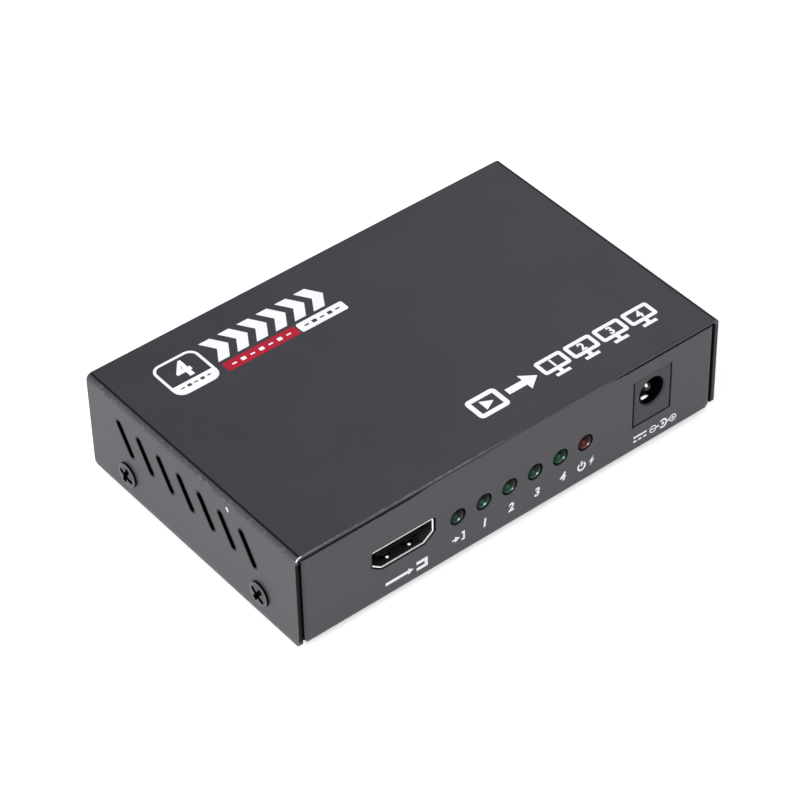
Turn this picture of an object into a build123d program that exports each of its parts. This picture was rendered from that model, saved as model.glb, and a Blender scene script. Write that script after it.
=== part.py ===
from build123d import *
import os

os.makedirs("parts", exist_ok=True)

# Video splitter in a folded sheet steel case.
# X runs along the panels, the front panel faces -Y, and Z = 0 is the surface that the feet stand on.

# Case
case_length = 104.5
case_depth = 66.0
case_height = 23.2
sheet = 0.8
foot_height = 1.5
overrun = 2.0

# Cover: top and two side walls
cover_bend = 0.6
wall_corner = 1.0
left_wall_lift = 0.15
right_wall_lift = 0.8
vent_count = 7
vent_pitch = 6.5
vent_length = 8.05
vent_width = 1.5
vent_tilt = 57.5
vent_height = 14.8
vent_shift = 1.4

# Tray: bottom, two panels, their returns and the four screw ears
cover_fit = 0.2
tray_bend = 0.3
return_depth = 5.0
bend_relief = 0.4
panel_end_gap = 0.6
crown_length = 43.0
crown_ramp = 5.5
crown_shift = 1.6
ear_length = 10.0
ear_height = 9.5
ear_collar_diameter = 4.8
ear_collar_length = 1.0

# Screws
thread_diameter = 3.0
thread_fit = 0.02
screw_clearance = 0.2
head_diameter = 5.5
head_height = 1.5
head_rim = 0.55
drive_length = 3.2
drive_width = 0.75
drive_depth = 0.9
cover_screw_length = 5.0
cover_screw_height = 5.35
cover_screw_inset = 11.9

# Feet
foot_diameter = 8.0
foot_taper = 0.5
foot_edge = 0.4
foot_inset = 8.0
foot_end_inset = 6.5

# Circuit board on four standoffs
board_thickness = 1.6
board_side_gap = 4.45
board_end_gap = 0.4
board_corner = 1.0
standoff_height = 4.7
standoff_width = 5.0
standoff_spigot = 4.2
standoff_fit = 0.02
standoff_inset = 3.0
standoff_spacing = 30.0
board_screw_length = 5.0

# Video sockets: one in front, four behind
output_count = 4
output_end_gap = 5.4
input_socket_inset = 24.8
socket_width = 15.2
socket_height = 5.3
socket_side = 3.5
socket_slope = 2.4
socket_corner = 0.6
socket_rise = 3.9
socket_depth = 11.0
socket_recess = 0.15
shell_wall = 0.4
mouth_edge = 0.12
opening_gap = 0.25
opening_shift = 0.2
opening_drop = 0.12
finger_spacing = 5.6
finger_width = 1.8
finger_gap = 0.4
finger_root = 7.4
finger_bump = 3.3
finger_tip = 2.0
finger_dip = 0.7
finger_lift = 0.35
leg_width = 1.8
leg_front = 3.4
leg_rear = 8.8
leg_stub = 0.6
leg_gap = 0.25
insulator_fit = 0.05
insulator_front = 8.6
insulator_back = 1.2
insulator_base_front = 5.0
tongue_width = 11.0
tongue_thickness = 1.3
tongue_recess = 1.3
upper_contacts = 10
lower_contacts = 9
contact_pitch = 1.0
contact_width = 0.45
contact_thickness = 0.12
contact_recess = 0.5
tail_pitch = 0.5
tail_width = 0.22
tail_thickness = 0.2
tail_height = 2.2
tail_reach = 1.2

# Power jack
jack_inset = 17.1
jack_width = 9.25
jack_height = 11.3
jack_depth = 14.0
jack_flange = 3.6
jack_barrel = 9.0
jack_bore_rise = 6.6
jack_bore = 6.4
jack_bore_depth = 9.8
jack_mouth_chamfer = 0.35
jack_opening_gap = 0.45
jack_top_gap = 0.06
pin_diameter = 2.0
pin_shank_diameter = 2.8
pin_recess = 1.2
pin_edge = 0.4
pin_fit = 0.02
lug_width = 2.4
lug_thickness = 0.4
lug_rise = 2.0
lug_stub = 1.2
lug_gap = 0.3
spring_width = 1.8
spring_thickness = 0.3
spring_gap = 0.3
spring_back = 11.6
spring_back_drop = 4.2
spring_bump = 4.6
spring_bump_drop = 2.5
spring_tip = 1.9
spring_tip_drop = 3.0
spring_bend = 0.2

# Status lamps
# Where the first and the last lamp stand, as shares of the space from the input socket to the power jack
lamp_row_shares = (0.115, 0.75)
lamp_rise = 3.15
lamp_diameter = 3.0
lamp_hole = 3.9
lamp_recess = 0.3
lamp_body = 4.0
lamp_flange_diameter = 3.8
lamp_flange = 1.0
lamp_lead_spacing = 2.54
lamp_lead_width = 0.5
lamp_lead_reach = 2.0
lamp_lead_bend = 0.3
# How far each lamp sits off its hole's centre, as shares of the play in the hole: right, then up
lamp_lean_shares = [(-0.7, -0.7), (-0.6, -0.6), (0.0, -0.3), (-0.2, -0.5), (0.5, 0.6), (0.0, -0.6)]

# Parts on the board
chip_width = 14.0
chip_height = 1.4
chip_leads_per_side = 12
chip_lead_pitch = 1.0
chip_lead_width = 0.4
chip_lead_thickness = 0.2
chip_lead_reach = 1.0
pad_width = 12.0
pad_height = 0.5
sink_base = 1.5
sink_height = 6.0
sink_fins = 7
sink_fin = 0.9
can_diameter = 6.3
can_height = 7.4
can_groove = 0.3
can_groove_height = 1.2
can_edge = 0.4
can_base = 6.6
can_base_height = 0.7
can_base_chamfer = 1.2
crystal_length = 11.0
crystal_width = 4.6
crystal_height = 3.5
crystal_edge = 0.3
inductor_width = 7.0
inductor_height = 4.0
inductor_corner = 1.5
inductor_core = 5.4
inductor_groove = 0.5
regulator_length = 6.5
regulator_width = 3.5
regulator_height = 1.6
regulator_tab = 3.0
regulator_leads = 3
regulator_lead = 0.7
regulator_lead_pitch = 2.3
regulator_lead_reach = 1.6
regulator_lead_height = 0.3
memory_length = 4.9
memory_width = 3.9
memory_height = 1.5
memory_leads = 4
memory_lead_pitch = 1.27
fuse_length = 4.5
fuse_width = 3.2
fuse_height = 1.5
fuse_cap = 1.0
ceramic_length = 1.6
ceramic_width = 0.8
ceramic_height = 0.8
ceramic_columns = 3
ceramic_rows = 2
ceramic_step = 2.5
ceramic_setback = 17.5
# Places from the board's middle, as shares of its half length and half depth
can_shares = [(0.48, -0.44), (0.62, -0.03), (-0.67, 0.06)]
crystal_share = (-0.37, -0.31)
inductor_share = (0.81, -0.25)
regulator_shares = [(0.43, -0.12), (0.43, 0.16)]
memory_share = (-0.43, 0.16)
fuse_share = (0.5, -0.72)

# Levels and edges that the pieces share
case_bottom = foot_height
case_top = case_bottom + case_height
cover_underside = case_top - sheet
tray_floor = case_bottom + sheet
tray_half = case_length / 2 - sheet - cover_fit
tray_outer_bend = tray_bend + sheet
panel_face = case_depth / 2
panel_inside = panel_face - sheet
panel_end_top = cover_underside - panel_end_gap
board_bottom = tray_floor + standoff_height
board_top = board_bottom + board_thickness
board_half = tray_half - sheet - board_side_gap
board_edge = panel_inside - board_end_gap
cover_screw_y = panel_face - cover_screw_inset
cover_screw_z = case_bottom + cover_screw_height
standoff_x = board_half - standoff_inset
standoff_y = standoff_spacing / 2
input_x = input_socket_inset - case_length / 2
input_right = input_x + socket_width / 2
jack_x = case_length / 2 - jack_inset
jack_left = jack_x - jack_width / 2
output_pitch = (2 * board_half - 2 * output_end_gap - socket_width) / (output_count - 1)
jack_z = board_top + jack_bore_rise
socket_z = board_top + socket_rise
lamp_z = board_top + lamp_rise
corners = [(x, y) for x in (-1, 1) for y in (-1, 1)]


def front_prism(sketch, start, length):
    """A sketch drawn in X and Z, carried along Y from start."""
    return Pos(0, start, 0) * extrude(Plane.XZ * sketch, amount=-length)


def side_prism(sketch, start, length):
    """A sketch drawn in Y and Z, carried along X from start."""
    return Pos(start, 0, 0) * extrude(Plane.YZ * sketch, amount=length)


def plan_prism(sketch, start, length):
    """A sketch drawn in X and Y, carried up from start."""
    return Pos(0, 0, start) * extrude(sketch, amount=length)


def block(x_size, y_size, z_size, x=0, y=0, bottom=0):
    """A box centred on x and y that stands on the level named bottom."""
    return Pos(x, y, bottom) * Box(x_size, y_size, z_size, align=(Align.CENTER, Align.CENTER, Align.MIN))


def outline(points):
    return make_face(Polyline(*points, close=True))


def bent_sheet(points, thickness, inner_radius):
    """The section of a bent sheet: its outer line follows the points and the metal lies on the left."""
    outer_line = FilletPolyline(*points, radius=inner_radius + thickness)
    return make_face(offset(outer_line, amount=thickness, side=Side.LEFT).edges())


def pan_screw(length):
    """A cross-slot screw whose head stands on Z = 0 and whose shank goes down."""
    shank_radius = thread_diameter / 2 - thread_fit
    head_radius = head_diameter / 2
    dome = head_height - head_rim
    dome_radius = (head_radius**2 + dome**2) / (2 * dome)
    halfway_drop = dome_radius - (dome_radius**2 - (head_radius / 2) ** 2) ** 0.5
    side = Polyline(
        (0, head_height),
        (0, -length),
        (shank_radius, -length),
        (shank_radius, 0),
        (head_radius, 0),
        (head_radius, head_rim),
    )
    halfway = (head_radius / 2, head_height - halfway_drop)
    crown = ThreePointArc((head_radius, head_rim), halfway, (0, head_height))
    screw = revolve(Plane.XZ * make_face([*side.edges(), *crown.edges()]), Axis.Z)
    slot = block(drive_length, drive_width, drive_depth + overrun, bottom=head_height - drive_depth)
    return screw - (slot + Rot(0, 0, 90) * slot)


def top_cover():
    half = case_length / 2
    section = bent_sheet(
        [
            (half, case_bottom + right_wall_lift),
            (half, case_top),
            (-half, case_top),
            (-half, case_bottom + left_wall_lift),
        ],
        sheet,
        cover_bend,
    )
    cover = front_prism(section, -panel_face, case_depth)
    short_edges = cover.edges().filter_by(Axis.X)
    cover = fillet(short_edges.filter_by_position(Axis.Z, case_bottom, tray_floor), wall_corner)
    for index in range(vent_count):
        along = vent_shift + (index - (vent_count - 1) / 2) * vent_pitch
        vent = Rot(0, 0, vent_tilt) * SlotOverall(vent_length, vent_width)
        vent = Pos(along, case_bottom + vent_height) * vent
        cover -= side_prism(vent, -half - overrun, case_length + 2 * overrun)
    for y in (-cover_screw_y, cover_screw_y):
        hole = Pos(y, cover_screw_z) * Circle(thread_diameter / 2 + screw_clearance)
        cover -= side_prism(hole, -half - overrun, case_length + 2 * overrun)
    return cover


def socket_outline():
    """The outer outline of a video socket: flat top, upright sides and sloping lower corners."""
    half = socket_width / 2
    low = -socket_height / 2
    high = socket_height / 2
    shape = outline(
        [
            (-half, high),
            (-half, high - socket_side),
            (-half + socket_slope, low),
            (half - socket_slope, low),
            (half, high - socket_side),
            (half, high),
        ]
    )
    return fillet(shape.vertices(), socket_corner)


def panel_top_cut():
    """What is taken off the panels above their crowned top edge."""
    half_crown = crown_length / 2
    above = cover_underside + overrun
    return outline(
        [
            (-tray_half - overrun, panel_end_top),
            (crown_shift - half_crown - crown_ramp, panel_end_top),
            (crown_shift - half_crown, cover_underside),
            (crown_shift + half_crown, cover_underside),
            (crown_shift + half_crown + crown_ramp, panel_end_top),
            (tray_half + overrun, panel_end_top),
            (tray_half + overrun, above),
            (-tray_half - overrun, above),
        ]
    )


def tray_sheet():
    """The tray before its openings: floor, panels, returns and ears bent up from one sheet."""
    flat_half = tray_half - tray_outer_bend
    channel = bent_sheet(
        [
            (-panel_face, cover_underside),
            (-panel_face, case_bottom),
            (panel_face, case_bottom),
            (panel_face, cover_underside),
        ],
        sheet,
        tray_bend,
    )
    tray = side_prism(channel, -flat_half, 2 * flat_half)
    tray -= front_prism(panel_top_cut(), -panel_face - overrun, case_depth + 2 * overrun)

    notch = tray_outer_bend + bend_relief
    tray += block(2 * tray_half, case_depth - 2 * notch, sheet, bottom=case_bottom)

    corner = bent_sheet(
        [
            (-tray_half, -panel_face + return_depth),
            (-tray_half, -panel_face),
            (-tray_half + 2 * tray_outer_bend, -panel_face),
        ],
        sheet,
        tray_bend,
    )
    return_bottom = tray_floor + bend_relief
    panel_return = plan_prism(corner, return_bottom, panel_end_top - return_bottom)

    ear_section = bent_sheet(
        [
            (-tray_half, case_bottom + ear_height),
            (-tray_half, case_bottom),
            (-tray_half + 2 * tray_outer_bend, case_bottom),
        ],
        sheet,
        tray_bend,
    )
    ear = front_prism(ear_section, -cover_screw_y - ear_length / 2, ear_length)
    collar_start = -tray_half + sheet
    collar = Pos(-cover_screw_y, cover_screw_z) * Circle(ear_collar_diameter / 2)
    ear += side_prism(collar, collar_start, ear_collar_length)
    hole = Pos(-cover_screw_y, cover_screw_z) * Circle(thread_diameter / 2)
    ear -= side_prism(hole, -tray_half - overrun, sheet + ear_collar_length + 2 * overrun)
    ear_notch = block(
        2 * tray_outer_bend,
        ear_length + 2 * bend_relief,
        sheet + 2 * overrun,
        x=-tray_half,
        y=-cover_screw_y,
        bottom=case_bottom - overrun,
    )
    for sides in ((), (Plane.YZ,), (Plane.XZ,), (Plane.YZ, Plane.XZ)):
        pieces = [ear_notch, panel_return, ear]
        for plane in sides:
            pieces = [mirror(piece, about=plane) for piece in pieces]
        tray -= pieces[0]
        tray += pieces[1]
        tray += pieces[2]
    return tray


def base_tray():
    tray = tray_sheet()
    grown = offset(socket_outline(), amount=opening_gap)
    window = Pos(opening_shift, -opening_drop) * grown
    cut_depth = sheet + 2 * overrun
    front_cut = -panel_face - overrun
    rear_cut = panel_inside - overrun
    tray -= front_prism(Pos(input_x, socket_z) * window, front_cut, cut_depth)
    for x in output_places():
        tray -= front_prism(Pos(x, socket_z) * window, rear_cut, cut_depth)
    for x in lamp_places():
        tray -= front_prism(Pos(x, lamp_z) * Circle(lamp_hole / 2), front_cut, cut_depth)
    jack_window_bottom = board_top - jack_opening_gap
    jack_window_top = board_top + jack_height + jack_top_gap
    jack_window_height = jack_window_top - jack_window_bottom
    jack_window_middle = (jack_window_top + jack_window_bottom) / 2
    jack_window = Rectangle(jack_width + 2 * jack_opening_gap, jack_window_height)
    tray -= front_prism(Pos(jack_x, jack_window_middle) * jack_window, front_cut, cut_depth)
    for x, y in corners:
        hole = Pos(x * standoff_x, y * standoff_y) * Circle(standoff_spigot / 2)
        tray -= plan_prism(hole, case_bottom - overrun, sheet + 2 * overrun)
    return tray


def cover_screws():
    screw = pan_screw(cover_screw_length)
    screws = []
    for side, y in corners:
        place = Pos(side * case_length / 2, y * cover_screw_y, cover_screw_z)
        screws.append(place * Rot(0, side * 90, 0) * screw)
    return screws


def rubber_feet():
    radius = foot_diameter / 2
    side = Polyline((0, foot_height), (radius, foot_height), (radius - foot_taper, 0), (0, 0), close=True)
    foot = revolve(Plane.XZ * make_face(side), Axis.Z)
    foot = chamfer(foot.edges().filter_by_position(Axis.Z, 0, 0), foot_edge)
    x = case_length / 2 - foot_inset
    y = panel_face - foot_end_inset
    return [Pos(sx * x, sy * y, 0) * foot for sx, sy in corners]


def board_standoffs():
    """Hexagonal posts whose spigots fill the holes in the tray's floor."""
    hexagon = RegularPolygon(standoff_width / 2, 6, major_radius=False)
    post = plan_prism(hexagon, tray_floor, standoff_height)
    post += plan_prism(Circle(standoff_spigot / 2 - standoff_fit), case_bottom, sheet)
    bore_length = sheet + standoff_height + 2 * overrun
    post -= plan_prism(Circle(thread_diameter / 2), case_bottom - overrun, bore_length)
    return [Pos(x * standoff_x, y * standoff_y, 0) * post for x, y in corners]


def board_screws():
    screw = pan_screw(board_screw_length)
    return [Pos(x * standoff_x, y * standoff_y, board_top) * screw for x, y in corners]


def output_places():
    """The rear sockets' places along X, the first on the right when the rear panel is faced."""
    return [((output_count - 1) / 2 - index) * output_pitch for index in range(output_count)]


def lamp_places():
    """One lamp for the input, one for each output and one for the power, along X."""
    count = output_count + 2
    first, last = (input_right + share * (jack_left - input_right) for share in lamp_row_shares)
    return [first + index * (last - first) / (count - 1) for index in range(count)]


def socket_leg_spots():
    x = (socket_width - shell_wall) / 2
    return [(side * x, y) for side in (-1, 1) for y in (leg_front, leg_rear)]


def at_front(shape, x, z, recess=0):
    """Puts a shape drawn from its front face, Y = 0, into the front panel."""
    return Pos(x, -panel_face + recess, z) * shape


def at_rear(shape, x, z, recess=0):
    return Pos(x, panel_face - recess, z) * Rot(0, 0, 180) * shape


def board_place(shares):
    """The place on the board that lies at these shares of its half length and half depth."""
    return Pos(shares[0] * board_half, shares[1] * board_edge, 0)


def circuit_board():
    shape = Rectangle(2 * board_half, 2 * board_edge)
    board = plan_prism(fillet(shape.vertices(), board_corner), board_bottom, board_thickness)
    deep = board_thickness + 2 * overrun
    low = board_bottom - overrun
    for x, y in corners:
        hole = Pos(x * standoff_x, y * standoff_y) * Circle(thread_diameter / 2 + screw_clearance)
        board -= plan_prism(hole, low, deep)
    leg_slot = Rectangle(shell_wall + 2 * leg_gap, leg_width + 2 * leg_gap)
    for x, y in socket_leg_spots():
        front_spot = Pos(input_x + x, -panel_face + socket_recess + y) * leg_slot
        board -= plan_prism(front_spot, low, deep)
        for socket_x in output_places():
            rear_spot = Pos(socket_x + x, panel_face - socket_recess - y) * leg_slot
            board -= plan_prism(rear_spot, low, deep)
    pin_lug = (jack_depth + lug_thickness / 2, lug_thickness)
    spring_lug = (spring_back, 2 * spring_thickness)
    for y, thickness in (pin_lug, spring_lug):
        lug_slot = Rectangle(lug_width + 2 * lug_gap, thickness + 2 * lug_gap)
        board -= plan_prism(Pos(jack_x, -panel_face + y) * lug_slot, low, deep)
    return board


def socket_shell():
    """A folded metal tube with four sprung fingers and four legs."""
    outer = socket_outline()
    inner = offset(outer, amount=-shell_wall)
    shell = front_prism(outer, 0, socket_depth) - front_prism(inner, -overrun, socket_depth + 2 * overrun)
    shell = chamfer(shell.edges().filter_by_position(Axis.Y, 0, 0), mouth_edge)
    inner_low = shell_wall - socket_height / 2
    window_length = finger_root - finger_tip + finger_gap
    leaf_section = bent_sheet(
        [
            (finger_root + shell_wall, inner_low),
            (finger_root - shell_wall, inner_low),
            (finger_bump, inner_low + finger_dip),
            (finger_tip, inner_low + finger_lift),
        ],
        shell_wall / 2,
        shell_wall,
    )
    window = Pos(0, finger_root - window_length / 2, inner_low) * Box(
        finger_width + 2 * finger_gap, window_length, 3 * shell_wall
    )
    leaf = side_prism(leaf_section, -finger_width / 2, finger_width)
    for x in (-finger_spacing / 2, finger_spacing / 2):
        for flip in (False, True):
            gap, finger = (mirror(s, about=Plane.XY) if flip else s for s in (window, leaf))
            shell -= Pos(x, 0, 0) * gap
            shell += Pos(x, 0, 0) * finger
    leg_top = (socket_height - socket_side) / 2
    leg_bottom = -socket_rise - board_thickness - leg_stub
    for x, y in socket_leg_spots():
        shell += block(shell_wall, leg_width, leg_top - leg_bottom, x, y, leg_bottom)
    return shell


def socket_insulator():
    """The moulding that carries the contacts: tongue, plug stop, back wall and foot."""
    fitted = offset(socket_outline(), amount=-shell_wall - insulator_fit)
    moulding = front_prism(fitted, insulator_front, socket_depth - insulator_front)
    half = socket_width / 2 - shell_wall - 2 * insulator_fit
    back_height = socket_rise + socket_height / 2
    back_y = socket_depth + insulator_back / 2
    moulding += block(2 * half, insulator_back, back_height, 0, back_y, -socket_rise)
    foot_depth = socket_depth + insulator_back - insulator_base_front
    foot_rise = socket_rise - socket_height / 2 - insulator_fit
    foot_y = insulator_base_front + foot_depth / 2
    moulding += block(2 * half, foot_depth, foot_rise, 0, foot_y, -socket_rise)
    tongue = Box(tongue_width, insulator_front - tongue_recess, tongue_thickness)
    moulding += Pos(0, (insulator_front + tongue_recess) / 2, 0) * tongue
    return moulding


def socket_contacts():
    """Flat contacts on both faces of the tongue, and their soldered tails."""
    start = tongue_recess + contact_recess
    strip = Box(contact_width, insulator_front - start, contact_thickness)
    middle = (insulator_front + start) / 2
    rise = (tongue_thickness + contact_thickness) / 2
    contacts = []
    for count, z in ((upper_contacts, rise), (lower_contacts, -rise)):
        for index in range(count):
            contacts.append(Pos((index - (count - 1) / 2) * contact_pitch, middle, z) * strip)
    back = socket_depth + insulator_back
    tail_section = outline(
        [
            (back, tail_height - socket_rise),
            (back, -socket_rise),
            (back + tail_reach, -socket_rise),
            (back + tail_reach, tail_thickness - socket_rise),
            (back + tail_thickness, tail_thickness - socket_rise),
            (back + tail_thickness, tail_height - socket_rise),
        ]
    )
    tail = side_prism(tail_section, -tail_width / 2, tail_width)
    tail_count = upper_contacts + lower_contacts
    for index in range(tail_count):
        contacts.append(Pos((index - (tail_count - 1) / 2) * tail_pitch, 0, 0) * tail)
    return contacts


def jack_body():
    """The power jack's moulding, drawn about its bore: square flange, round-topped barrel, sprung slot."""
    flange = Pos(0, jack_height / 2 - jack_bore_rise) * Rectangle(jack_width, jack_height)
    body = front_prism(flange, 0, jack_flange)
    barrel = Circle(jack_barrel / 2) + Pos(0, -jack_bore_rise / 2) * Rectangle(jack_barrel, jack_bore_rise)
    body += front_prism(barrel, jack_flange, jack_depth - jack_flange)
    body -= front_prism(Circle(jack_bore / 2), -overrun, jack_bore_depth + overrun)
    mouth = body.edges().filter_by(GeomType.CIRCLE).filter_by_position(Axis.Y, 0, 0)
    body = chamfer(mouth, jack_mouth_chamfer)
    body -= front_prism(Circle(pin_shank_diameter / 2 + pin_fit), -overrun, jack_depth + 2 * overrun)
    slot_start = spring_tip - spring_gap
    slot_length = spring_back + 2 * spring_thickness + spring_gap - slot_start
    slot_top = -jack_bore / 4
    slot_bottom = -jack_bore_rise - overrun
    body -= block(
        spring_width + 2 * spring_gap,
        slot_length,
        slot_top - slot_bottom,
        y=slot_start + slot_length / 2,
        bottom=slot_bottom,
    )
    return body


def jack_pin():
    """The centre pin, its thicker pressed-in shank and the solder lug riveted to its back end."""
    pin = front_prism(Circle(pin_diameter / 2), pin_recess, jack_bore_depth - pin_recess)
    pin = chamfer(pin.edges().filter_by_position(Axis.Y, pin_recess, pin_recess), pin_edge)
    shank_length = jack_depth + lug_thickness - jack_bore_depth
    pin += front_prism(Circle(pin_shank_diameter / 2), jack_bore_depth, shank_length)
    lug_bottom = -jack_bore_rise - board_thickness - lug_stub
    lug_y = jack_depth + lug_thickness / 2
    pin += block(lug_width, lug_thickness, lug_rise - lug_bottom, 0, lug_y, lug_bottom)
    return pin


def jack_spring():
    """A bent leaf that presses on the plug's sleeve, with its lug through the board."""
    section = bent_sheet(
        [
            (spring_back + spring_thickness, -jack_bore_rise - board_thickness - lug_stub),
            (spring_back + spring_thickness, -spring_back_drop),
            (spring_bump, -spring_bump_drop),
            (spring_tip, -spring_tip_drop),
        ],
        spring_thickness,
        spring_bend,
    )
    return side_prism(section, -spring_width / 2, spring_width)


def lamp_lens():
    """A round lamp with a domed tip at Y = 0 and a flange at its back."""
    radius = lamp_diameter / 2
    flange_radius = lamp_flange_diameter / 2
    back = lamp_body + lamp_flange
    dome = CenterArc((0, radius), radius, 270, 90)
    side = Polyline(
        (radius, radius),
        (radius, lamp_body),
        (flange_radius, lamp_body),
        (flange_radius, back),
        (0, back),
        (0, 0),
    )
    return revolve(make_face([*dome.edges(), *side.edges()]), Axis.Y)


def lamp_leads(rise):
    """Two bent wires from the lamp's back down to the board, which lies rise below its axis."""
    back = lamp_body + lamp_flange
    half = lamp_lead_width / 2
    section = bent_sheet(
        [(back + lamp_lead_reach, -rise), (back + lamp_lead_reach, half), (back, half)],
        lamp_lead_width,
        lamp_lead_bend,
    )
    wire = side_prism(section, -half, lamp_lead_width)
    return [Pos(x, 0, 0) * wire for x in (-lamp_lead_spacing / 2, lamp_lead_spacing / 2)]


def lamps():
    """Every lamp with its leads, each a little off its hole's centre."""
    play = (lamp_hole - lamp_diameter) / 2
    lenses = []
    leads = []
    for x, (right_share, up_share) in zip(lamp_places(), lamp_lean_shares):
        lens_x = x + right_share * play
        lens_z = lamp_z + up_share * play
        lenses.append(at_front(lamp_lens(), lens_x, lens_z, lamp_recess))
        for wire in lamp_leads(lens_z - board_top):
            leads.append(at_front(wire, lens_x, lens_z, lamp_recess))
    return lenses, leads


def splitter_chip():
    return block(chip_width, chip_width, chip_height, bottom=board_top)


def chip_leads():
    """Sloping leads on all four sides of the main chip."""
    half = chip_width / 2
    middle = board_top + chip_height / 2
    section = outline(
        [
            (half, middle),
            (half, middle + chip_lead_thickness),
            (half + chip_lead_reach, board_top + chip_lead_thickness),
            (half + chip_lead_reach, board_top),
        ]
    )
    lead = front_prism(section, -chip_lead_width / 2, chip_lead_width)
    leads = []
    for turn in (0, 90, 180, 270):
        for index in range(chip_leads_per_side):
            y = (index - (chip_leads_per_side - 1) / 2) * chip_lead_pitch
            leads.append(Rot(0, 0, turn) * Pos(0, y, 0) * lead)
    return leads


def thermal_pad():
    return block(pad_width, pad_width, pad_height, bottom=board_top + chip_height)


def heat_sink():
    """A finned block on the main chip."""
    bottom = board_top + chip_height + pad_height
    section = Pos(0, bottom + sink_base / 2) * Rectangle(chip_width, sink_base)
    fin_step = (chip_width - sink_fin) / (sink_fins - 1)
    for index in range(sink_fins):
        x = (index - (sink_fins - 1) / 2) * fin_step
        section += Pos(x, bottom + sink_height / 2) * Rectangle(sink_fin, sink_height)
    return front_prism(section, -chip_width / 2, chip_width)


def capacitor_cans():
    radius = can_diameter / 2
    bottom = board_top + can_base_height
    neck = radius - can_groove
    side = Polyline(
        (0, 0),
        (radius, 0),
        (radius, can_groove_height - can_groove),
        (neck, can_groove_height),
        (radius, can_groove_height + can_groove),
        (radius, can_height),
        (0, can_height),
        close=True,
    )
    can = revolve(Plane.XZ * make_face(side), Axis.Z)
    can = chamfer(can.edges().filter_by_position(Axis.Z, can_height, can_height), can_edge)
    return [board_place(shares) * Pos(0, 0, bottom) * can for shares in can_shares]


def capacitor_bases():
    shape = Rectangle(can_base, can_base)
    front_corners = shape.vertices().filter_by_position(Axis.Y, -can_base / 2, -can_base / 2)
    base = plan_prism(chamfer(front_corners, can_base_chamfer), board_top, can_base_height)
    return [board_place(shares) * base for shares in can_shares]


def timing_crystal():
    shape = SlotOverall(crystal_length, crystal_width)
    can = plan_prism(shape, board_top, crystal_height)
    top = board_top + crystal_height
    can = chamfer(can.edges().filter_by_position(Axis.Z, top, top), crystal_edge)
    return board_place(crystal_share) * can


def filter_inductor():
    """A drum core with chamfered square cheeks above and below its winding."""
    shape = Rectangle(inductor_width, inductor_width)
    cheek = chamfer(shape.vertices(), inductor_corner)
    cheek_height = inductor_height / 4
    drum = plan_prism(cheek, board_top, cheek_height)
    drum += plan_prism(Circle(inductor_core / 2 + inductor_groove), board_top, inductor_height)
    drum += plan_prism(cheek, board_top + inductor_height - cheek_height, cheek_height)
    return board_place(inductor_share) * drum


def voltage_regulators():
    body = block(regulator_length, regulator_width, regulator_height, bottom=board_top)
    reach = regulator_width + 2 * regulator_lead_reach
    for index in range(regulator_leads):
        x = (index - (regulator_leads - 1) / 2) * regulator_lead_pitch
        lead_y = -reach / 4
        body += block(regulator_lead, reach / 2, regulator_lead_height, x, lead_y, board_top)
    body += block(regulator_tab, reach / 2, regulator_lead_height, 0, reach / 4, board_top)
    return [board_place(shares) * body for shares in regulator_shares]


def memory_chip():
    body = block(memory_length, memory_width, memory_height, bottom=board_top)
    reach = memory_width + 2 * chip_lead_reach
    for index in range(memory_leads):
        x = (index - (memory_leads - 1) / 2) * memory_lead_pitch
        body += block(chip_lead_width, reach, chip_lead_thickness, x, 0, board_top)
    return board_place(memory_share) * body


def input_fuse():
    middle_length = fuse_length - 2 * fuse_cap
    body = block(middle_length, fuse_width - chip_lead_thickness, fuse_height, bottom=board_top)
    for side in (-1, 1):
        x = side * (fuse_length - fuse_cap) / 2
        body += block(fuse_cap, fuse_width, fuse_height, x, 0, board_top)
    return board_place(fuse_share) * body


def ceramic_chips():
    """Small two-ended parts in a block in front of each rear socket."""
    chip = block(ceramic_width, ceramic_length, ceramic_height, bottom=board_top)
    chips = []
    for socket_x in output_places():
        for column in range(ceramic_columns):
            for row in range(ceramic_rows):
                x = socket_x + (column - (ceramic_columns - 1) / 2) * ceramic_step
                y = panel_face - ceramic_setback - row * ceramic_step
                chips.append(Pos(x, y, 0) * chip)
    return chips


def write(name, shapes):
    """Writes one node: a single solid, or a group of separate solids."""
    group = shapes if isinstance(shapes, list) else [shapes]
    solids = [solid for shape in group for solid in shape.solids()]
    export_step(solids[0] if len(solids) == 1 else Compound(children=solids), f"parts/{name}.step")


write("top_cover", top_cover())
write("base_tray", base_tray())
write("cover_screws", cover_screws())
write("rubber_feet", rubber_feet())
write("board_standoffs", board_standoffs())
write("board_screws", board_screws())
write("circuit_board", circuit_board())

socket_pieces = {"shell": socket_shell(), "insulator": socket_insulator(), "contacts": socket_contacts()}
for piece_name, piece in socket_pieces.items():
    shapes = piece if isinstance(piece, list) else [piece]
    write(f"input_socket_{piece_name}", [at_front(s, input_x, socket_z, socket_recess) for s in shapes])
    for number, output_x in enumerate(output_places(), 1):
        placed = [at_rear(s, output_x, socket_z, socket_recess) for s in shapes]
        write(f"output_socket_{number}_{piece_name}", placed)

write("power_jack_body", at_front(jack_body(), jack_x, jack_z))
write("power_jack_pin", at_front(jack_pin(), jack_x, jack_z))
write("power_jack_spring", at_front(jack_spring(), jack_x, jack_z))

lamp_lenses, lamp_wires = lamps()
output_names = [f"output_lamp_{number}" for number in range(1, output_count + 1)]
lamp_names = ["input_lamp", *output_names, "power_lamp"]
for lamp_name, lens in zip(lamp_names, lamp_lenses):
    write(lamp_name, lens)
write("lamp_leads", lamp_wires)

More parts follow.
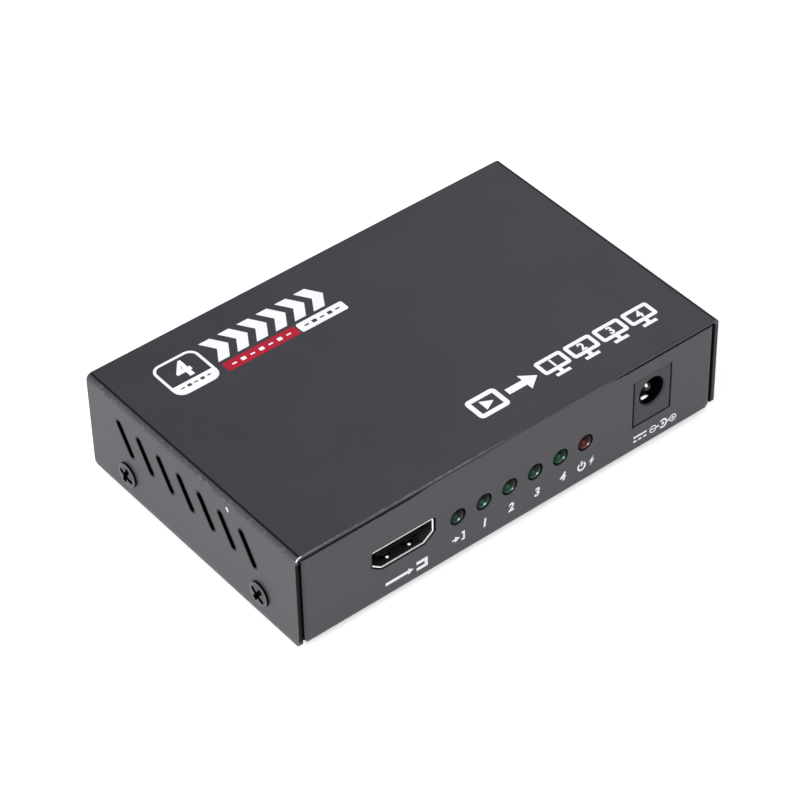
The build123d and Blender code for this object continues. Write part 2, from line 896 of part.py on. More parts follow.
write("splitter_chip", splitter_chip())
write("chip_leads", chip_leads())
write("thermal_pad", thermal_pad())
write("heat_sink", heat_sink())
write("capacitor_cans", capacitor_cans())
write("capacitor_bases", capacitor_bases())
write("timing_crystal", timing_crystal())
write("filter_inductor", filter_inductor())
write("voltage_regulators", voltage_regulators())
write("memory_chip", memory_chip())
write("input_fuse", input_fuse())
write("ceramic_chips", ceramic_chips())
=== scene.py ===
import math

import bpy
import numpy as np
from mathutils import Matrix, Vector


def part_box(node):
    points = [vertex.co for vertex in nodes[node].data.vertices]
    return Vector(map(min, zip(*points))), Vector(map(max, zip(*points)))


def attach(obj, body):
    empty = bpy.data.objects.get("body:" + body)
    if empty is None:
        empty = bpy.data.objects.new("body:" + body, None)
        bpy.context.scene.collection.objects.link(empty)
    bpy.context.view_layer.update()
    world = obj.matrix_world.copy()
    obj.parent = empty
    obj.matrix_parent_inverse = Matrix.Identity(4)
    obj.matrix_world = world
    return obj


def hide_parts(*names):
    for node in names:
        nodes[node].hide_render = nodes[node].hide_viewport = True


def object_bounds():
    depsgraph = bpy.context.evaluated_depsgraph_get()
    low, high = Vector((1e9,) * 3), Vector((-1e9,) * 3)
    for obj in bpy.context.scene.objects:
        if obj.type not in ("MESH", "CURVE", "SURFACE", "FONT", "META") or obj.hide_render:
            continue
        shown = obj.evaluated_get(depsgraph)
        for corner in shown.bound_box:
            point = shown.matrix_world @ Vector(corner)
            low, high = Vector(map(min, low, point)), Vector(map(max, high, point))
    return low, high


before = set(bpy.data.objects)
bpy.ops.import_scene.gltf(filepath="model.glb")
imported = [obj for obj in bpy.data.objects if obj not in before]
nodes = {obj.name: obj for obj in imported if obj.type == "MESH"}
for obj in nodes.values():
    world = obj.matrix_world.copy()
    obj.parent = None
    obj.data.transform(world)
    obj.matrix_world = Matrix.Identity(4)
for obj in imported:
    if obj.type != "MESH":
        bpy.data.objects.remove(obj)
cadBox = [list(corner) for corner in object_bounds()]
scene = bpy.context.scene
mm = 0.001
print("frame loaded:", len(nodes), "pieces")


# Shader maths

class Wire:
    # one output socket; sums and products of wires add their Math nodes
    def __init__(self, finish, socket):
        self.finish = finish
        self.socket = socket

    def __add__(self, other):
        return self.finish.maths("ADD", self, other)

    def __sub__(self, other):
        return self.finish.maths("SUBTRACT", self, other)

    def __rsub__(self, other):
        return self.finish.maths("SUBTRACT", other, self)

    def __mul__(self, other):
        return self.finish.maths("MULTIPLY", self, other)

    def __truediv__(self, other):
        return self.finish.maths("DIVIDE", self, other)

    __radd__ = __add__
    __rmul__ = __mul__


class Finish:
    # one material: its principled shader, and short ways to add nodes
    def __init__(self, name):
        self.material = bpy.data.materials.new(name)
        self.material.use_nodes = True
        self.tree = self.material.node_tree
        self.shader = self.tree.nodes["Principled BSDF"]

    def node(self, kind, settings=None, inputs=None, output=0):
        made = self.tree.nodes.new(kind)
        for key, value in (settings or {}).items():
            setattr(made, key, value)
        for key, value in (inputs or {}).items():
            self.feed(made.inputs[key], value)
        return Wire(self, made.outputs[output])

    def feed(self, socket, value):
        if isinstance(value, Wire):
            self.tree.links.new(value.socket, socket)
        else:
            socket.default_value = value

    def set(self, **values):
        for key, value in values.items():
            self.feed(self.shader.inputs[key.replace("_", " ")], value)

    def maths(self, operation, *values):
        return self.node("ShaderNodeMath", {"operation": operation}, dict(enumerate(values)))

    def measure(self, operation, first, second):
        # one number from two vectors
        facts = {0: first, 1: second}
        return self.node("ShaderNodeVectorMath", {"operation": operation}, facts, output="Value")

    def place(self):
        return self.node("ShaderNodeTexCoord", output="Object")

    def axes(self, place):
        split = self.node("ShaderNodeSeparateXYZ", inputs={0: place}).socket.node
        return [Wire(self, socket) for socket in split.outputs]

    def noise(self, place, size, detail=2.0, roughness=0.5):
        # size is the width of one blotch in metres
        facts = {"Vector": place, "Scale": 1 / size, "Detail": detail, "Roughness": roughness}
        return self.node("ShaderNodeTexNoise", inputs=facts)

    def cells(self, place, size):
        return self.node("ShaderNodeTexVoronoi", inputs={"Vector": place, "Scale": 1 / size})

    def stretch(self, place, scale):
        return self.node("ShaderNodeMapping", inputs={"Vector": place, "Scale": scale})

    def ease(self, value, low, high, start=0.0, end=1.0):
        # a smooth step from start to end while value goes from low to high
        facts = {0: value, 1: low, 2: high, 3: start, 4: end}
        return self.node("ShaderNodeMapRange", {"interpolation_type": "SMOOTHSTEP"}, facts)

    def fall(self, value, low, high):
        # the same step downwards: 1 until low, 0 from high on
        return self.ease(value, low, high, 1.0, 0.0)

    def band(self, value, on, full, fading, gone):
        # rises from on to full, and falls from fading to gone
        return self.ease(value, on, full) * self.fall(value, fading, gone)

    def mix(self, factor, first, second):
        facts = {0: factor, 6: first, 7: second}
        return self.node("ShaderNodeMix", {"data_type": "RGBA"}, facts, output=2)

    def distance(self, place, point):
        return self.measure("DISTANCE", place, point)

    def bump(self, height, depth, normal=None):
        facts = {"Height": height, "Distance": depth, "Strength": 1.0}
        if normal:
            facts["Normal"] = normal
        return self.node("ShaderNodeBump", inputs=facts)

    def softEdge(self, radius):
        # normals that turn over every sharp edge within the radius
        return self.node("ShaderNodeBevel", {"samples": 6}, {"Radius": radius})

    def edges(self, rounded, low, high):
        # 1 where the rounded normal leaves the face's own normal
        own = self.node("ShaderNodeNewGeometry", output="True Normal")
        return self.ease(1 - self.measure("DOT_PRODUCT", rounded, own), low, high)


def tone(colour, factor=1.0):
    return (*[min(1.0, channel * factor) for channel in colour], 1.0)


# what a finish has unless its own values say otherwise
plainFacts = {"driftSize": 0.004, "spread": 0.2, "roughSpread": 0.15, "edge": 0.00008,
              "metallic": 0.0, "shine": 0.5}


def grainFinish(name, facts):
    # a base colour that drifts between two tones, roughness that follows a fine grain, and that grain as bump
    facts = {**plainFacts, **facts}
    finish = Finish(name)
    place = finish.place()
    if "stretch" in facts:
        place = finish.stretch(place, facts["stretch"])
    drift = finish.noise(place, facts["driftSize"], 3.0)
    grain = finish.noise(place, facts["grainSize"])
    dark = tone(facts["colour"], 1 - facts["spread"])
    light = tone(facts["colour"], 1 + facts["spread"])
    shade = finish.mix(drift * 0.6 + grain * 0.4, dark, light)
    rough = facts["roughness"] + (grain - 0.5) * facts["roughSpread"]
    normal = finish.bump(grain, facts["bump"], finish.softEdge(facts["edge"]))
    finish.set(Base_Color=shade, Roughness=rough, Metallic=facts["metallic"], Normal=normal)
    finish.set(Specular_IOR_Level=facts["shine"])
    return finish


def speckled(finish, place, facts):
    # the grain, and the base colour a fifth darker to a fifth lighter along it
    grain = finish.noise(place, facts["grainSize"])
    return grain, finish.mix(grain, tone(facts["colour"], 0.8), tone(facts["colour"], 1.2))


# The painted case

coatFacts = {
    "dark": (0.0186, 0.0184, 0.0238),      # between the grains
    "light": (0.0302, 0.0299, 0.0366),     # on top of the grains
    "edge": (0.095, 0.094, 0.102),         # pale on the cut edges: painted highlight, broken up by wear
    # painted highlight along the cover's front edge
    "frontEdgeHighlight": (0.135, 0.134, 0.142),
    "fold": (0.0010, 0.0010, 0.0014),      # painted shade in the dark lines along the fold and the corners
    "bare": (0.80, 0.79, 0.77),            # steel under a chip
    "inside": (0.0020, 0.0020, 0.0022),    # painted shade on the inner faces and in the slots
    # widths of the patterns' blotches in metres, and between which of its values each one turns on
    "grainSize": 0.00032, "speckSize": 0.000512, "peelSize": 0.0016, "driftSize": 0.018,
    "wornSize": 0.0011, "paleSize": 0.0007, "dashSize": 0.0013,
    "specks": (0.05, 0.28), "tones": (0.30, 0.68), "rim": (0.02, 0.22), "wearAndSheen": (0.42, 0.62),
    "pale": (0.56, 0.64), "dashes": (0.42, 0.56), "unworn": 0.25,
    "shares": (0.55, 0.35, 0.12),          # of grain, drift and specks
    "fade": (-0.016, 0.008),               # where along the case the painted highlight on the front edge fades out
    "rimRight": 0.35,                      # what is left of the painted highlight on the rims on the right
    # depths below the outer faces in metres, each with where it starts and ends
    "skin": (0.00042, 0.000714),           # the depth from which the inner faces take the painted shade
    "slotWall": (0.00004, 0.00012),
    "slotBand": (0.00154, 0.00168, 0.0180, 0.01818),
    "rollDepth": (0.00020, 0.00028),
    "foldSide": (0.00126, 0.00147),        # the fold along the top's sides
    "foldLine": (0.0, 0.000028, 0.00007, 0.000182), "foldDark": 0.88,
    "foldPale": (0.00014, 0.00028, 0.00098, 0.0014), "paleShares": (0.18, 0.5),
    "edgeLine": (0.00011, 0.000198),
    "seamWidth": (0.00014, 0.00022), "seamTop": (0.0012, 0.0016),
    "lipDepth": (0.00010, 0.00016), "lipTop": (0.0009, 0.0012), "lipRight": 0.5,
    "lipWidth": 0.00050, "lipMore": 0.00035, "lipSoft": (0.00008, 0.00010),
    "endGap": (0.00036, 0.00045),          # how far in from its ends the panel lies in the cover's shadow
    "gapDepth": (0.0017, 0.00221), "gapLight": 0.5,   # light that reaches into the gap at the right end
    "grainDepth": 0.000010, "peelDepth": 0.000012, "edgeRadius": 0.00022,
    "roughness": 0.44, "roughSpread": 0.20, "driftSpread": 0.06, "lineRough": 0.45, "lineMetal": 0.6,
    "chipSoft": 0.8, "bareRough": 0.3,
}

# the side slots: their row's middle is back from the case's and up from its underside, and the roll is shaded
# between two distances from a slot's edge
slotFacts = {"count": 7, "pitch": 0.0065, "length": 0.00805, "width": 0.0015, "tilt": 57.5,
             "middle": (0.0014, 0.0148), "roll": (0.000208, 0.00052)}

# a chip: its middle, its radius and how ragged its rim is, in metres
coverChips = [
    ((-0.05205, -0.03300, 0.02405), 0.00020, 0.0002),
    ((-0.05180, -0.03300, 0.02440), 0.00026, 0.0002),
    ((-0.05140, -0.03300, 0.02464), 0.00026, 0.0002),
    ((-0.05095, -0.03300, 0.02472), 0.00020, 0.0002),
    ((-0.05225, -0.01216, 0.02215), 0.00030, 0.0003),
    ((-0.05225, -0.01240, 0.02175), 0.00022, 0.0003),
]

caseCorners = [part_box("top_cover"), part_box("base_tray")]
caseLow = [min(pair[0][axis] for pair in caseCorners) for axis in range(3)]
caseHigh = [max(pair[1][axis] for pair in caseCorners) for axis in range(3)]
coatFacts["middles"] = [(low + high) / 2 for low, high in zip(caseLow, caseHigh)]
coatFacts["halves"] = [(high - low) / 2 for low, high in zip(caseLow, caseHigh)]
coatFacts["panelEnd"] = caseCorners[0][1].x - caseCorners[1][1].x


def slotShade(finish, axes, facts):
    # the punch rolled each slot's outer edge in, so it lies in shade: 1 at the slot, 0 at the roll's end,
    # by the distance from the nearest slot's middle line less half a slot's width
    tilt = math.radians(facts["tilt"])
    c, s = math.cos(tilt), math.sin(tilt)
    back = axes[1] - facts["middle"][0]
    up = axes[2] - (caseLow[2] + facts["middle"][1])
    # the nearest slot's number, counted from the middle one
    last = (facts["count"] - 1) / 2
    number = finish.maths("ROUND", (back - up * (c / s)) / facts["pitch"])
    number = finish.maths("MAXIMUM", finish.maths("MINIMUM", number, last), -last)
    back = back - number * facts["pitch"]
    along = finish.maths("ABSOLUTE", back * c + up * s)
    over = finish.maths("MAXIMUM", along - (facts["length"] - facts["width"]) / 2, 0.0)
    spot = finish.node("ShaderNodeCombineXYZ", inputs={0: up * c - back * s, 1: over})
    away = finish.distance(spot, (0, 0, 0)) - facts["width"] / 2
    return finish.fall(away, *facts["roll"])


def powderCoat(name, facts, cover, chips=()):
    # grain, drift and specks mix the two tones; then the painted highlights, the painted shade and the chips
    # each mix in
    # Their own tone, found by the point's depth below the case's outer faces; cover is 1 on the cover and 0 on
    # the tray
    finish = Finish(name)
    place = finish.place()
    axes = finish.axes(place)
    grain = finish.noise(place, facts["grainSize"], 3.0, 0.6)
    peel = finish.noise(place, facts["peelSize"], 1.0)
    drift = finish.noise(place, facts["driftSize"], 3.0)
    wearAndSheen = finish.noise(place, facts["wornSize"], 3.0)
    specks = finish.fall(finish.cells(place, facts["speckSize"]), *facts["specks"])
    grainShare, driftShare, speckShare = facts["shares"]
    blend = grain * grainShare + drift * driftShare + specks * speckShare
    shade = finish.mix(finish.ease(blend, *facts["tones"]), tone(facts["dark"]), tone(facts["light"]))
    # a painted highlight on the edges, broken up by wear and palest towards the left
    fade = finish.fall(axes[0], *facts["fade"])
    rounded = finish.softEdge(facts["edgeRadius"])
    rim = finish.edges(rounded, *facts["rim"]) * finish.ease(wearAndSheen, *facts["wearAndSheen"], facts["unworn"], 1.0)
    rim = rim * (facts["rimRight"] + fade * (1 - facts["rimRight"]))
    shade = finish.mix(rim, shade, tone(facts["edge"]))
    # how deep the point lies below the case's outer face on each axis
    side, front, top = [half - finish.maths("ABSOLUTE", wire - middle)
                        for wire, middle, half in zip(axes, facts["middles"], facts["halves"])]
    # painted shade on the inner faces, deeper than the skin
    under = finish.maths("MINIMUM", finish.maths("MINIMUM", side, front), top)
    inner = finish.ease(under, *facts["skin"])
    # painted shade: the walls of the side slots, which lie below the fold, are dark right behind the face, and
    # so is each slot's rim
    slot = finish.ease(side, *facts["slotWall"]) * finish.band(top, *facts["slotBand"])
    rolled = slotShade(finish, axes, slotFacts) * finish.fall(side, *facts["rollDepth"])
    inner = finish.maths("MAXIMUM", inner, finish.maths("MAXIMUM", slot, rolled) * cover)
    # along the fold: a dark line of painted shade above, pale specks of painted highlight below
    onFold = finish.fall(side, *facts["foldSide"]) * cover
    line = onFold * finish.band(top, *facts["foldLine"])
    shade = finish.mix(line * facts["foldDark"], shade, tone(facts["fold"]))
    pale = finish.ease(finish.noise(place, facts["paleSize"]), *facts["pale"])
    evenShare, paleShare = facts["paleShares"]
    below = onFold * finish.band(top, *facts["foldPale"]) * (evenShare + pale * paleShare)
    shade = finish.mix(below, shade, tone(facts["edge"]))
    # a painted highlight in dashes along the cover's front edge
    dashes = finish.ease(finish.noise(place, facts["dashSize"]), *facts["dashes"], facts["unworn"], 1.0)
    frontEdgeHighlight = finish.fall(finish.maths("MAXIMUM", front, top), *facts["edgeLine"]) * dashes * fade
    shade = finish.mix(frontEdgeHighlight * cover, shade, tone(facts["frontEdgeHighlight"]))
    # painted shade in the gaps: a dark seam down the corners, and a dark lip on the front just behind the fold
    corner = finish.maths("MAXIMUM", side, front)
    seam = finish.fall(corner, *facts["seamWidth"]) * finish.ease(top, *facts["seamTop"])
    behind = finish.maths("MINIMUM", side, top)
    lipFrom = fade * facts["lipWidth"]
    lipTo = facts["lipWidth"] + fade * facts["lipMore"]
    lipOn, lipOff = facts["lipSoft"]
    lip = finish.fall(front, *facts["lipDepth"])
    lip = lip * finish.maths("MAXIMUM", fade, finish.fall(top, *facts["lipTop"]) * facts["lipRight"])
    lip = lip * finish.band(behind, lipFrom, lipFrom + lipOn, lipTo, lipTo + lipOff)
    seam = finish.maths("MAXIMUM", seam * fade, lip)
    shade = finish.mix(seam * cover, shade, tone(facts["fold"]))
    # the panels' ends behind the cover lie in shadow, with some light in the right gap
    ends = finish.fall(side - facts["panelEnd"], *facts["endGap"]) * fade * (1 - cover)
    inner = finish.maths("MAXIMUM", inner, ends)
    rightEnd = finish.fall(side, *facts["gapDepth"]) * (1 - fade)
    inner = inner * (1 - rightEnd * facts["gapLight"])
    shade = finish.mix(inner, shade, tone(facts["inside"]))
    rough = facts["roughness"] + (grain - 0.5) * facts["roughSpread"] + (drift - 0.5) * facts["driftSpread"]
    rough = rough + (line + seam * cover) * facts["lineRough"]
    metal = inner + line * facts["lineMetal"]
    for middle, radius, ragged in chips:
        away = finish.distance(place, middle) + (wearAndSheen - 0.5) * ragged * 2
        bare = finish.fall(away, radius * facts["chipSoft"], radius)
        shade = finish.mix(bare, shade, tone(facts["bare"]))
        rough = rough * (1 - bare) + bare * facts["bareRough"]
        metal = bare + metal
    height = grain * (facts["grainDepth"] / facts["peelDepth"]) + peel
    finish.set(Base_Color=shade, Roughness=rough, Metallic=finish.ease(metal, 0.0, 1.0))
    finish.set(Normal=finish.bump(height, facts["peelDepth"], rounded))
    return finish.material


def dress(node, material):
    meshData = nodes[node].data
    meshData.materials.clear()
    meshData.materials.append(material)


dress("top_cover", powderCoat("coverCoat", coatFacts, 1.0, coverChips))
dress("base_tray", powderCoat("trayCoat", coatFacts, 0.0))


# Plain pieces: each finish's colour, grain and gloss, and what has it

sockets = ["input_socket"] + [f"output_socket_{number}" for number in range(1, 5)]
finishFacts = {
    "zincSteel": {"nodes": ["board_screws"], "colour": (0.62, 0.62, 0.60), "grainSize": 0.0003,
                  "roughness": 0.30, "bump": 0.000004, "metallic": 1.0, "edge": 0.00012},
    "turnedBrass": {"nodes": ["board_standoffs"], "colour": (0.70, 0.55, 0.28), "grainSize": 0.0004,
                    "roughness": 0.28, "bump": 0.000005, "metallic": 1.0, "stretch": (1, 1, 6)},
    "footRubber": {"nodes": ["rubber_feet"], "colour": (0.022, 0.022, 0.022), "grainSize": 0.0004,
                   "roughness": 0.85, "bump": 0.00003, "edge": 0.0002},
    "blackMoulding": {"nodes": ["capacitor_bases"], "colour": (0.014, 0.014, 0.015), "grainSize": 0.00018,
                      "roughness": 0.48, "bump": 0.000006, "edge": 0.0001},
    # darker and duller than the black moulding above: painted shade inside the sockets
    "socketMoulding": {"nodes": [socket + "_insulator" for socket in sockets],
                       "colour": (0.0030, 0.0029, 0.0028), "grainSize": 0.00018,
                       "roughness": 0.70, "bump": 0.000006, "edge": 0.0001, "shine": 0.06},
    # a dark gold: painted shade inside the sockets
    "goldContact": {"nodes": [socket + "_contacts" for socket in sockets],
                    "colour": (0.42, 0.28, 0.10), "grainSize": 0.0002,
                    "roughness": 0.38, "bump": 0.000002, "metallic": 1.0, "stretch": (6, 1, 1)},
    "tinnedWire": {"nodes": ["lamp_leads", "chip_leads"], "colour": (0.68, 0.68, 0.67),
                   "grainSize": 0.0002, "roughness": 0.30, "bump": 0.000004, "metallic": 1.0},
    "chipEpoxy": {"nodes": ["splitter_chip", "memory_chip", "voltage_regulators"],
                  "colour": (0.020, 0.020, 0.021), "grainSize": 0.00015, "roughness": 0.60, "bump": 0.000008},
    "sinkAluminium": {"nodes": ["heat_sink"], "colour": (0.50, 0.50, 0.52), "grainSize": 0.0003,
                      "roughness": 0.38, "bump": 0.000008, "metallic": 1.0, "stretch": (1, 8, 1)},
    "padSilicone": {"nodes": ["thermal_pad"], "colour": (0.35, 0.44, 0.50), "grainSize": 0.0005,
                    "roughness": 0.75, "bump": 0.00002},
    "crystalSteel": {"nodes": ["timing_crystal"], "colour": (0.70, 0.69, 0.66), "grainSize": 0.0004,
                     "roughness": 0.22, "bump": 0.000004, "metallic": 1.0, "edge": 0.0002},
    "ferrite": {"nodes": ["filter_inductor"], "colour": (0.055, 0.054, 0.052), "grainSize": 0.00025,
                "roughness": 0.70, "bump": 0.00002},
    "fuseCeramic": {"nodes": ["input_fuse"], "colour": (0.55, 0.46, 0.30), "grainSize": 0.0003,
                    "roughness": 0.45, "bump": 0.000006},
    "chipCeramic": {"nodes": ["ceramic_chips"], "colour": (0.36, 0.27, 0.17), "grainSize": 0.0002,
                    "roughness": 0.50, "bump": 0.000006},
}

for name, facts in finishFacts.items():
    material = grainFinish(name, facts).material
    for node in facts["nodes"]:
        dress(node, material)


# The sockets' shells

# the mouth is bright to the first depth behind the panel's face, and painted shade makes it dark from the
# second on
socketFacts = {"colour": (0.82, 0.81, 0.78), "inner": (0.030, 0.029, 0.028), "grainSize": 0.0003,
               "roughness": 0.20, "innerRough": 0.35, "bump": 0.000003, "metallic": 1.0, "edge": 0.00012,
               "panelFace": cadBox[1][1], "mouthHeight": 0.0055, "mouth": (0.00022, 0.00036),
               "shadeWidth": (0.0003, 0.0006), "shadeLow": (0.0008, 0.0012)}


def socketNickel(name, facts):
    # bright at the mouth; painted shade makes it dull and dark where it goes back into the case
    finish = grainFinish(name, facts)
    place = finish.place()
    x, y, z = finish.axes(place)
    deep = finish.ease(facts["panelFace"] - finish.maths("ABSOLUTE", y), *facts["mouth"])
    grain = finish.noise(place, facts["grainSize"])
    if "corner" in facts:
        # the mouth's left side, which faces away from the light
        cornerX, cornerZ = facts["corner"]
        left = finish.fall(x - cornerX, *facts["shadeWidth"]) * finish.ease(z - cornerZ, *facts["shadeLow"])
        deep = finish.maths("MAXIMUM", deep, left)
    shade = finish.mix(deep * (0.9 + grain * 0.1), tone(facts["colour"]), tone(facts["inner"]))
    finish.set(Base_Color=shade, Roughness=facts["roughness"] + deep * facts["innerRough"])
    return finish.material


shellLow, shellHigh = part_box("input_socket_shell")
mouthCorner = (shellLow.x, shellHigh.z - socketFacts["mouthHeight"])
frontNickel = socketNickel("frontNickel", {**socketFacts, "corner": mouthCorner})
shellNickel = socketNickel("socketNickel", socketFacts)
for socket in sockets:
    dress(socket + "_shell", frontNickel if socket == "input_socket" else shellNickel)


# The power jack

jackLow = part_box("power_jack_body")[0]
jackFacts = {"colour": (0.040, 0.040, 0.045), "inner": (0.0022, 0.0020, 0.0044), "grainSize": 0.00022,
             "roughness": 0.50, "bump": 0.000008, "edge": 0.00015, "shine": 0.25,
             "face": jackLow.y, "bore": (0.00015, 0.0006), "boreRough": 0.3, "boreMetal": 0.9}


def jackMoulding(facts):
    # satin on the square face; painted shade makes it matt black down the bore
    finish = grainFinish("jackMoulding", facts)
    place = finish.place()
    bore = finish.ease(finish.axes(place)[1] - facts["face"], *facts["bore"])
    shade = speckled(finish, place, facts)[1]
    finish.set(Base_Color=finish.mix(bore, shade, tone(facts["inner"])))
    finish.set(Roughness=facts["roughness"] + bore * facts["boreRough"], Metallic=bore * facts["boreMetal"])
    return finish.material


# the pin's tip stands on the bore's axis, halfway between the lug's sides
pinLow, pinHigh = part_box("power_jack_pin")
springLow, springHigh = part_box("power_jack_spring")
boreX, boreZ = (pinLow.x + pinHigh.x) / 2, jackLow.z + 0.0066
# the nickel's colour is dark as painted shade, and bright is the tone of the painted glint
glintNickelFacts = {"colour": (0.035, 0.035, 0.037), "bright": (0.92, 0.92, 0.93), "grainSize": 0.0002,
             "roughness": 0.35, "grainRough": 0.1, "bump": 0.000002, "metallic": 0.4, "glintMetal": 0.1,
             "shine": 0.2, "glintGlow": 0.45, "glintSoft": 0.6}
pinFacts = {**glintNickelFacts, "squeeze": (1.3, 1.0, 0.85), "glintSize": 0.00047,
            "spot": (boreX - 0.00038, pinLow.y + 0.00015, boreZ + 0.00078)}
springFacts = {**glintNickelFacts, "squeeze": (0.38, 1.0, 0.6), "glintSize": 0.00056, "glintGlow": 0.8,
               "spot": (boreX - 0.0003, springLow.y + 0.0001, springHigh.z)}


def wornNickel(name, facts):
    # nickel painted dark for the shade in the bore, with a painted glint that glows a little: near a point, by
    # a distance squeezed along each axis
    finish = grainFinish(name, facts)
    place = finish.place()
    squeezed = finish.stretch(place, facts["squeeze"])
    middle = tuple(a * b for a, b in zip(facts["spot"], facts["squeeze"]))
    size = facts["glintSize"]
    spot = finish.fall(finish.distance(squeezed, middle), size * facts["glintSoft"], size)
    grain, shade = speckled(finish, place, facts)
    bright = tone(facts["bright"])
    metal = facts["metallic"] - spot * (facts["metallic"] - facts["glintMetal"])
    finish.set(Base_Color=finish.mix(spot, shade, bright), Metallic=metal)
    finish.set(Roughness=facts["roughness"] + grain * facts["grainRough"])
    finish.set(Emission_Color=finish.mix(spot, tone((0, 0, 0)), bright), Emission_Strength=facts["glintGlow"])
    return finish.material


dress("power_jack_body", jackMoulding(jackFacts))
dress("power_jack_pin", wornNickel("pinNickel", pinFacts))
dress("power_jack_spring", wornNickel("springNickel", springFacts))


# The board and its cans

boardFacts = {"mask": (0.010, 0.075, 0.030), "track": (0.018, 0.125, 0.050), "via": (0.62, 0.55, 0.38),
              "bendSize": 0.0036, "trackScale": 260.0, "tracks": (0.55, 0.65),
              "viaSize": 0.0042, "vias": (0.09, 0.12),
              "ends": (0.0190, 0.0200), "endTone": 0.06,     # painted shade under the panels, from here along the depth
              "bendShare": 0.4, "roughness": 0.32, "bendRough": 0.1, "viaMetal": 0.8, "coat": 0.3,
              "bump": 0.00003}


def boardMask(facts):
    # green solder mask over copper tracks, with pale pads in a fine grid, and painted shade under the panels
    finish = Finish("boardMask")
    place = finish.place()
    bend = finish.noise(place, facts["bendSize"])
    tracks = finish.node("ShaderNodeTexWave", {"bands_direction": "DIAGONAL"}, {
        "Vector": place, "Scale": facts["trackScale"], "Distortion": 3.0, "Detail": 1.0, "Detail Scale": 0.6})
    lines = finish.ease(tracks + (bend - 0.5) * facts["bendShare"], *facts["tracks"])
    shade = finish.mix(lines, tone(facts["mask"]), tone(facts["track"]))
    spots = finish.fall(finish.cells(place, facts["viaSize"]), *facts["vias"])
    shade = finish.mix(spots, shade, tone(facts["via"]))
    ends = finish.ease(finish.maths("ABSOLUTE", finish.axes(place)[1]), *facts["ends"])
    shade = finish.mix(ends, shade, tone(facts["mask"], facts["endTone"]))
    finish.set(Base_Color=shade, Roughness=facts["roughness"] + bend * facts["bendRough"])
    finish.set(Metallic=spots * facts["viaMetal"])
    finish.set(Coat_Weight=(1 - ends) * facts["coat"], Normal=finish.bump(lines + spots, facts["bump"]))
    return finish.material


canLow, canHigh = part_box("capacitor_cans")
canFacts = {"colour": (0.78, 0.78, 0.79), "moon": (0.02, 0.02, 0.02), "grainSize": 0.0004, "roughness": 0.22,
            "bump": 0.000003, "metallic": 1.0, "edge": 0.0002, "top": canHigh.z, "topSkin": (-0.00025, -0.0001),
            "moonSide": (-0.0012, -0.0011), "moonRadius": (0.0034, 0.0035),
            "seeds": [(canHigh.x, canHigh.y), (canLow.x, 0), (0.022, canLow.y)], "reach": 0.009}


def meshPoints(meshData):
    flat = np.zeros(len(meshData.vertices) * 3)
    meshData.vertices.foreach_get("co", flat)
    return flat.reshape(-1, 3)


def canMiddles(facts):
    # halfway between the outermost corners that lie within reach of each seed
    corners = meshPoints(nodes["capacitor_cans"].data)
    middles = []
    for seed in facts["seeds"]:
        near = corners[np.hypot(*(corners[:, :2] - seed).T) < facts["reach"]]
        middles.append(tuple((near.min(0) + near.max(0))[:2] / 2) if len(near) else seed)
    return middles


def canTop(facts):
    # bright aluminium with the dark half moon that marks the minus side
    finish = grainFinish("canAluminium", facts)
    place = finish.place()
    axes = finish.axes(place)
    moon = 0.0
    for middleX, middleY in canMiddles(facts):
        near = finish.distance(place, (middleX, middleY, facts["top"]))
        side = finish.fall(axes[0] - middleX, *facts["moonSide"])
        moon = side * finish.fall(near, *facts["moonRadius"]) + moon
    moon = moon * finish.ease(axes[2] - facts["top"], *facts["topSkin"])
    grain = finish.noise(place, facts["grainSize"])
    shade = finish.mix(grain, tone(facts["colour"], 0.85), tone(facts["colour"]))
    finish.set(Base_Color=finish.mix(moon, shade, tone(facts["moon"])), Metallic=1 - moon)
    return finish.material


dress("circuit_board", boardMask(boardFacts))
dress("capacitor_cans", canTop(canFacts))
print("finishes made:", len(bpy.data.materials))


# New surfaces

def addPiece(name, points, faces, material, smooth=False, replaced=()):
    meshData = bpy.data.meshes.new(name)
    meshData.from_pydata(points.tolist(), [], faces)
    meshData.polygons.foreach_set("use_smooth", np.full(len(meshData.polygons), smooth))
    meshData.update()
    meshData.materials.append(material)
    piece = bpy.data.objects.new(name, meshData)
    scene.collection.objects.link(piece)
    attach(piece, "root")
    if replaced:
        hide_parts(*replaced)
    return piece


def gridFaces(rows, columns, start=0):
    # quads between the rows of a grid that closes along its columns
    row, column = np.meshgrid(np.arange(rows - 1), np.arange(columns), indexing="ij")
    after = (column + 1) % columns
    quads = np.stack([row * columns + column, row * columns + after,
                      (row + 1) * columns + after, (row + 1) * columns + column], axis=-1)
    return (quads.reshape(-1, 4) + start).tolist()


def shiftFaces(faces, start):
    return [[index + start for index in face] for face in faces]


# The lamps: a dome, a straight body and a flange, in tinted epoxy

lensFacts = {"turns": 64, "domeSteps": 24, "radius": 1.88, "dome": 1.0, "power": 2.5, "body": 4.3,
             "flangeRadius": 1.9, "length": 5.3, "round": 0.01, "hole": 1.95, "play": 0.45, "forward": 0.42}

# painted light on the lens, as shares of its radius: a pool of light below, shade on top and a glint, each how
# far right and up, where it starts to fade and where it is gone
epoxyFacts = {"litPool": (0.15, -0.95, 0.15, 1.0), "topShade": (0.40, 0.80, 0.40, 1.05),
              "glint": (-0.30, 0.25, 0.05, 0.32), "cupGlintSize": (0.05, 0.22), "topShadeTone": 0.22, "glintShare": 0.6,
              "cloudSize": 0.0006, "roughness": 0.07, "shine": 0.07, "glintGlow": 0.35, "bump": 0.00001}
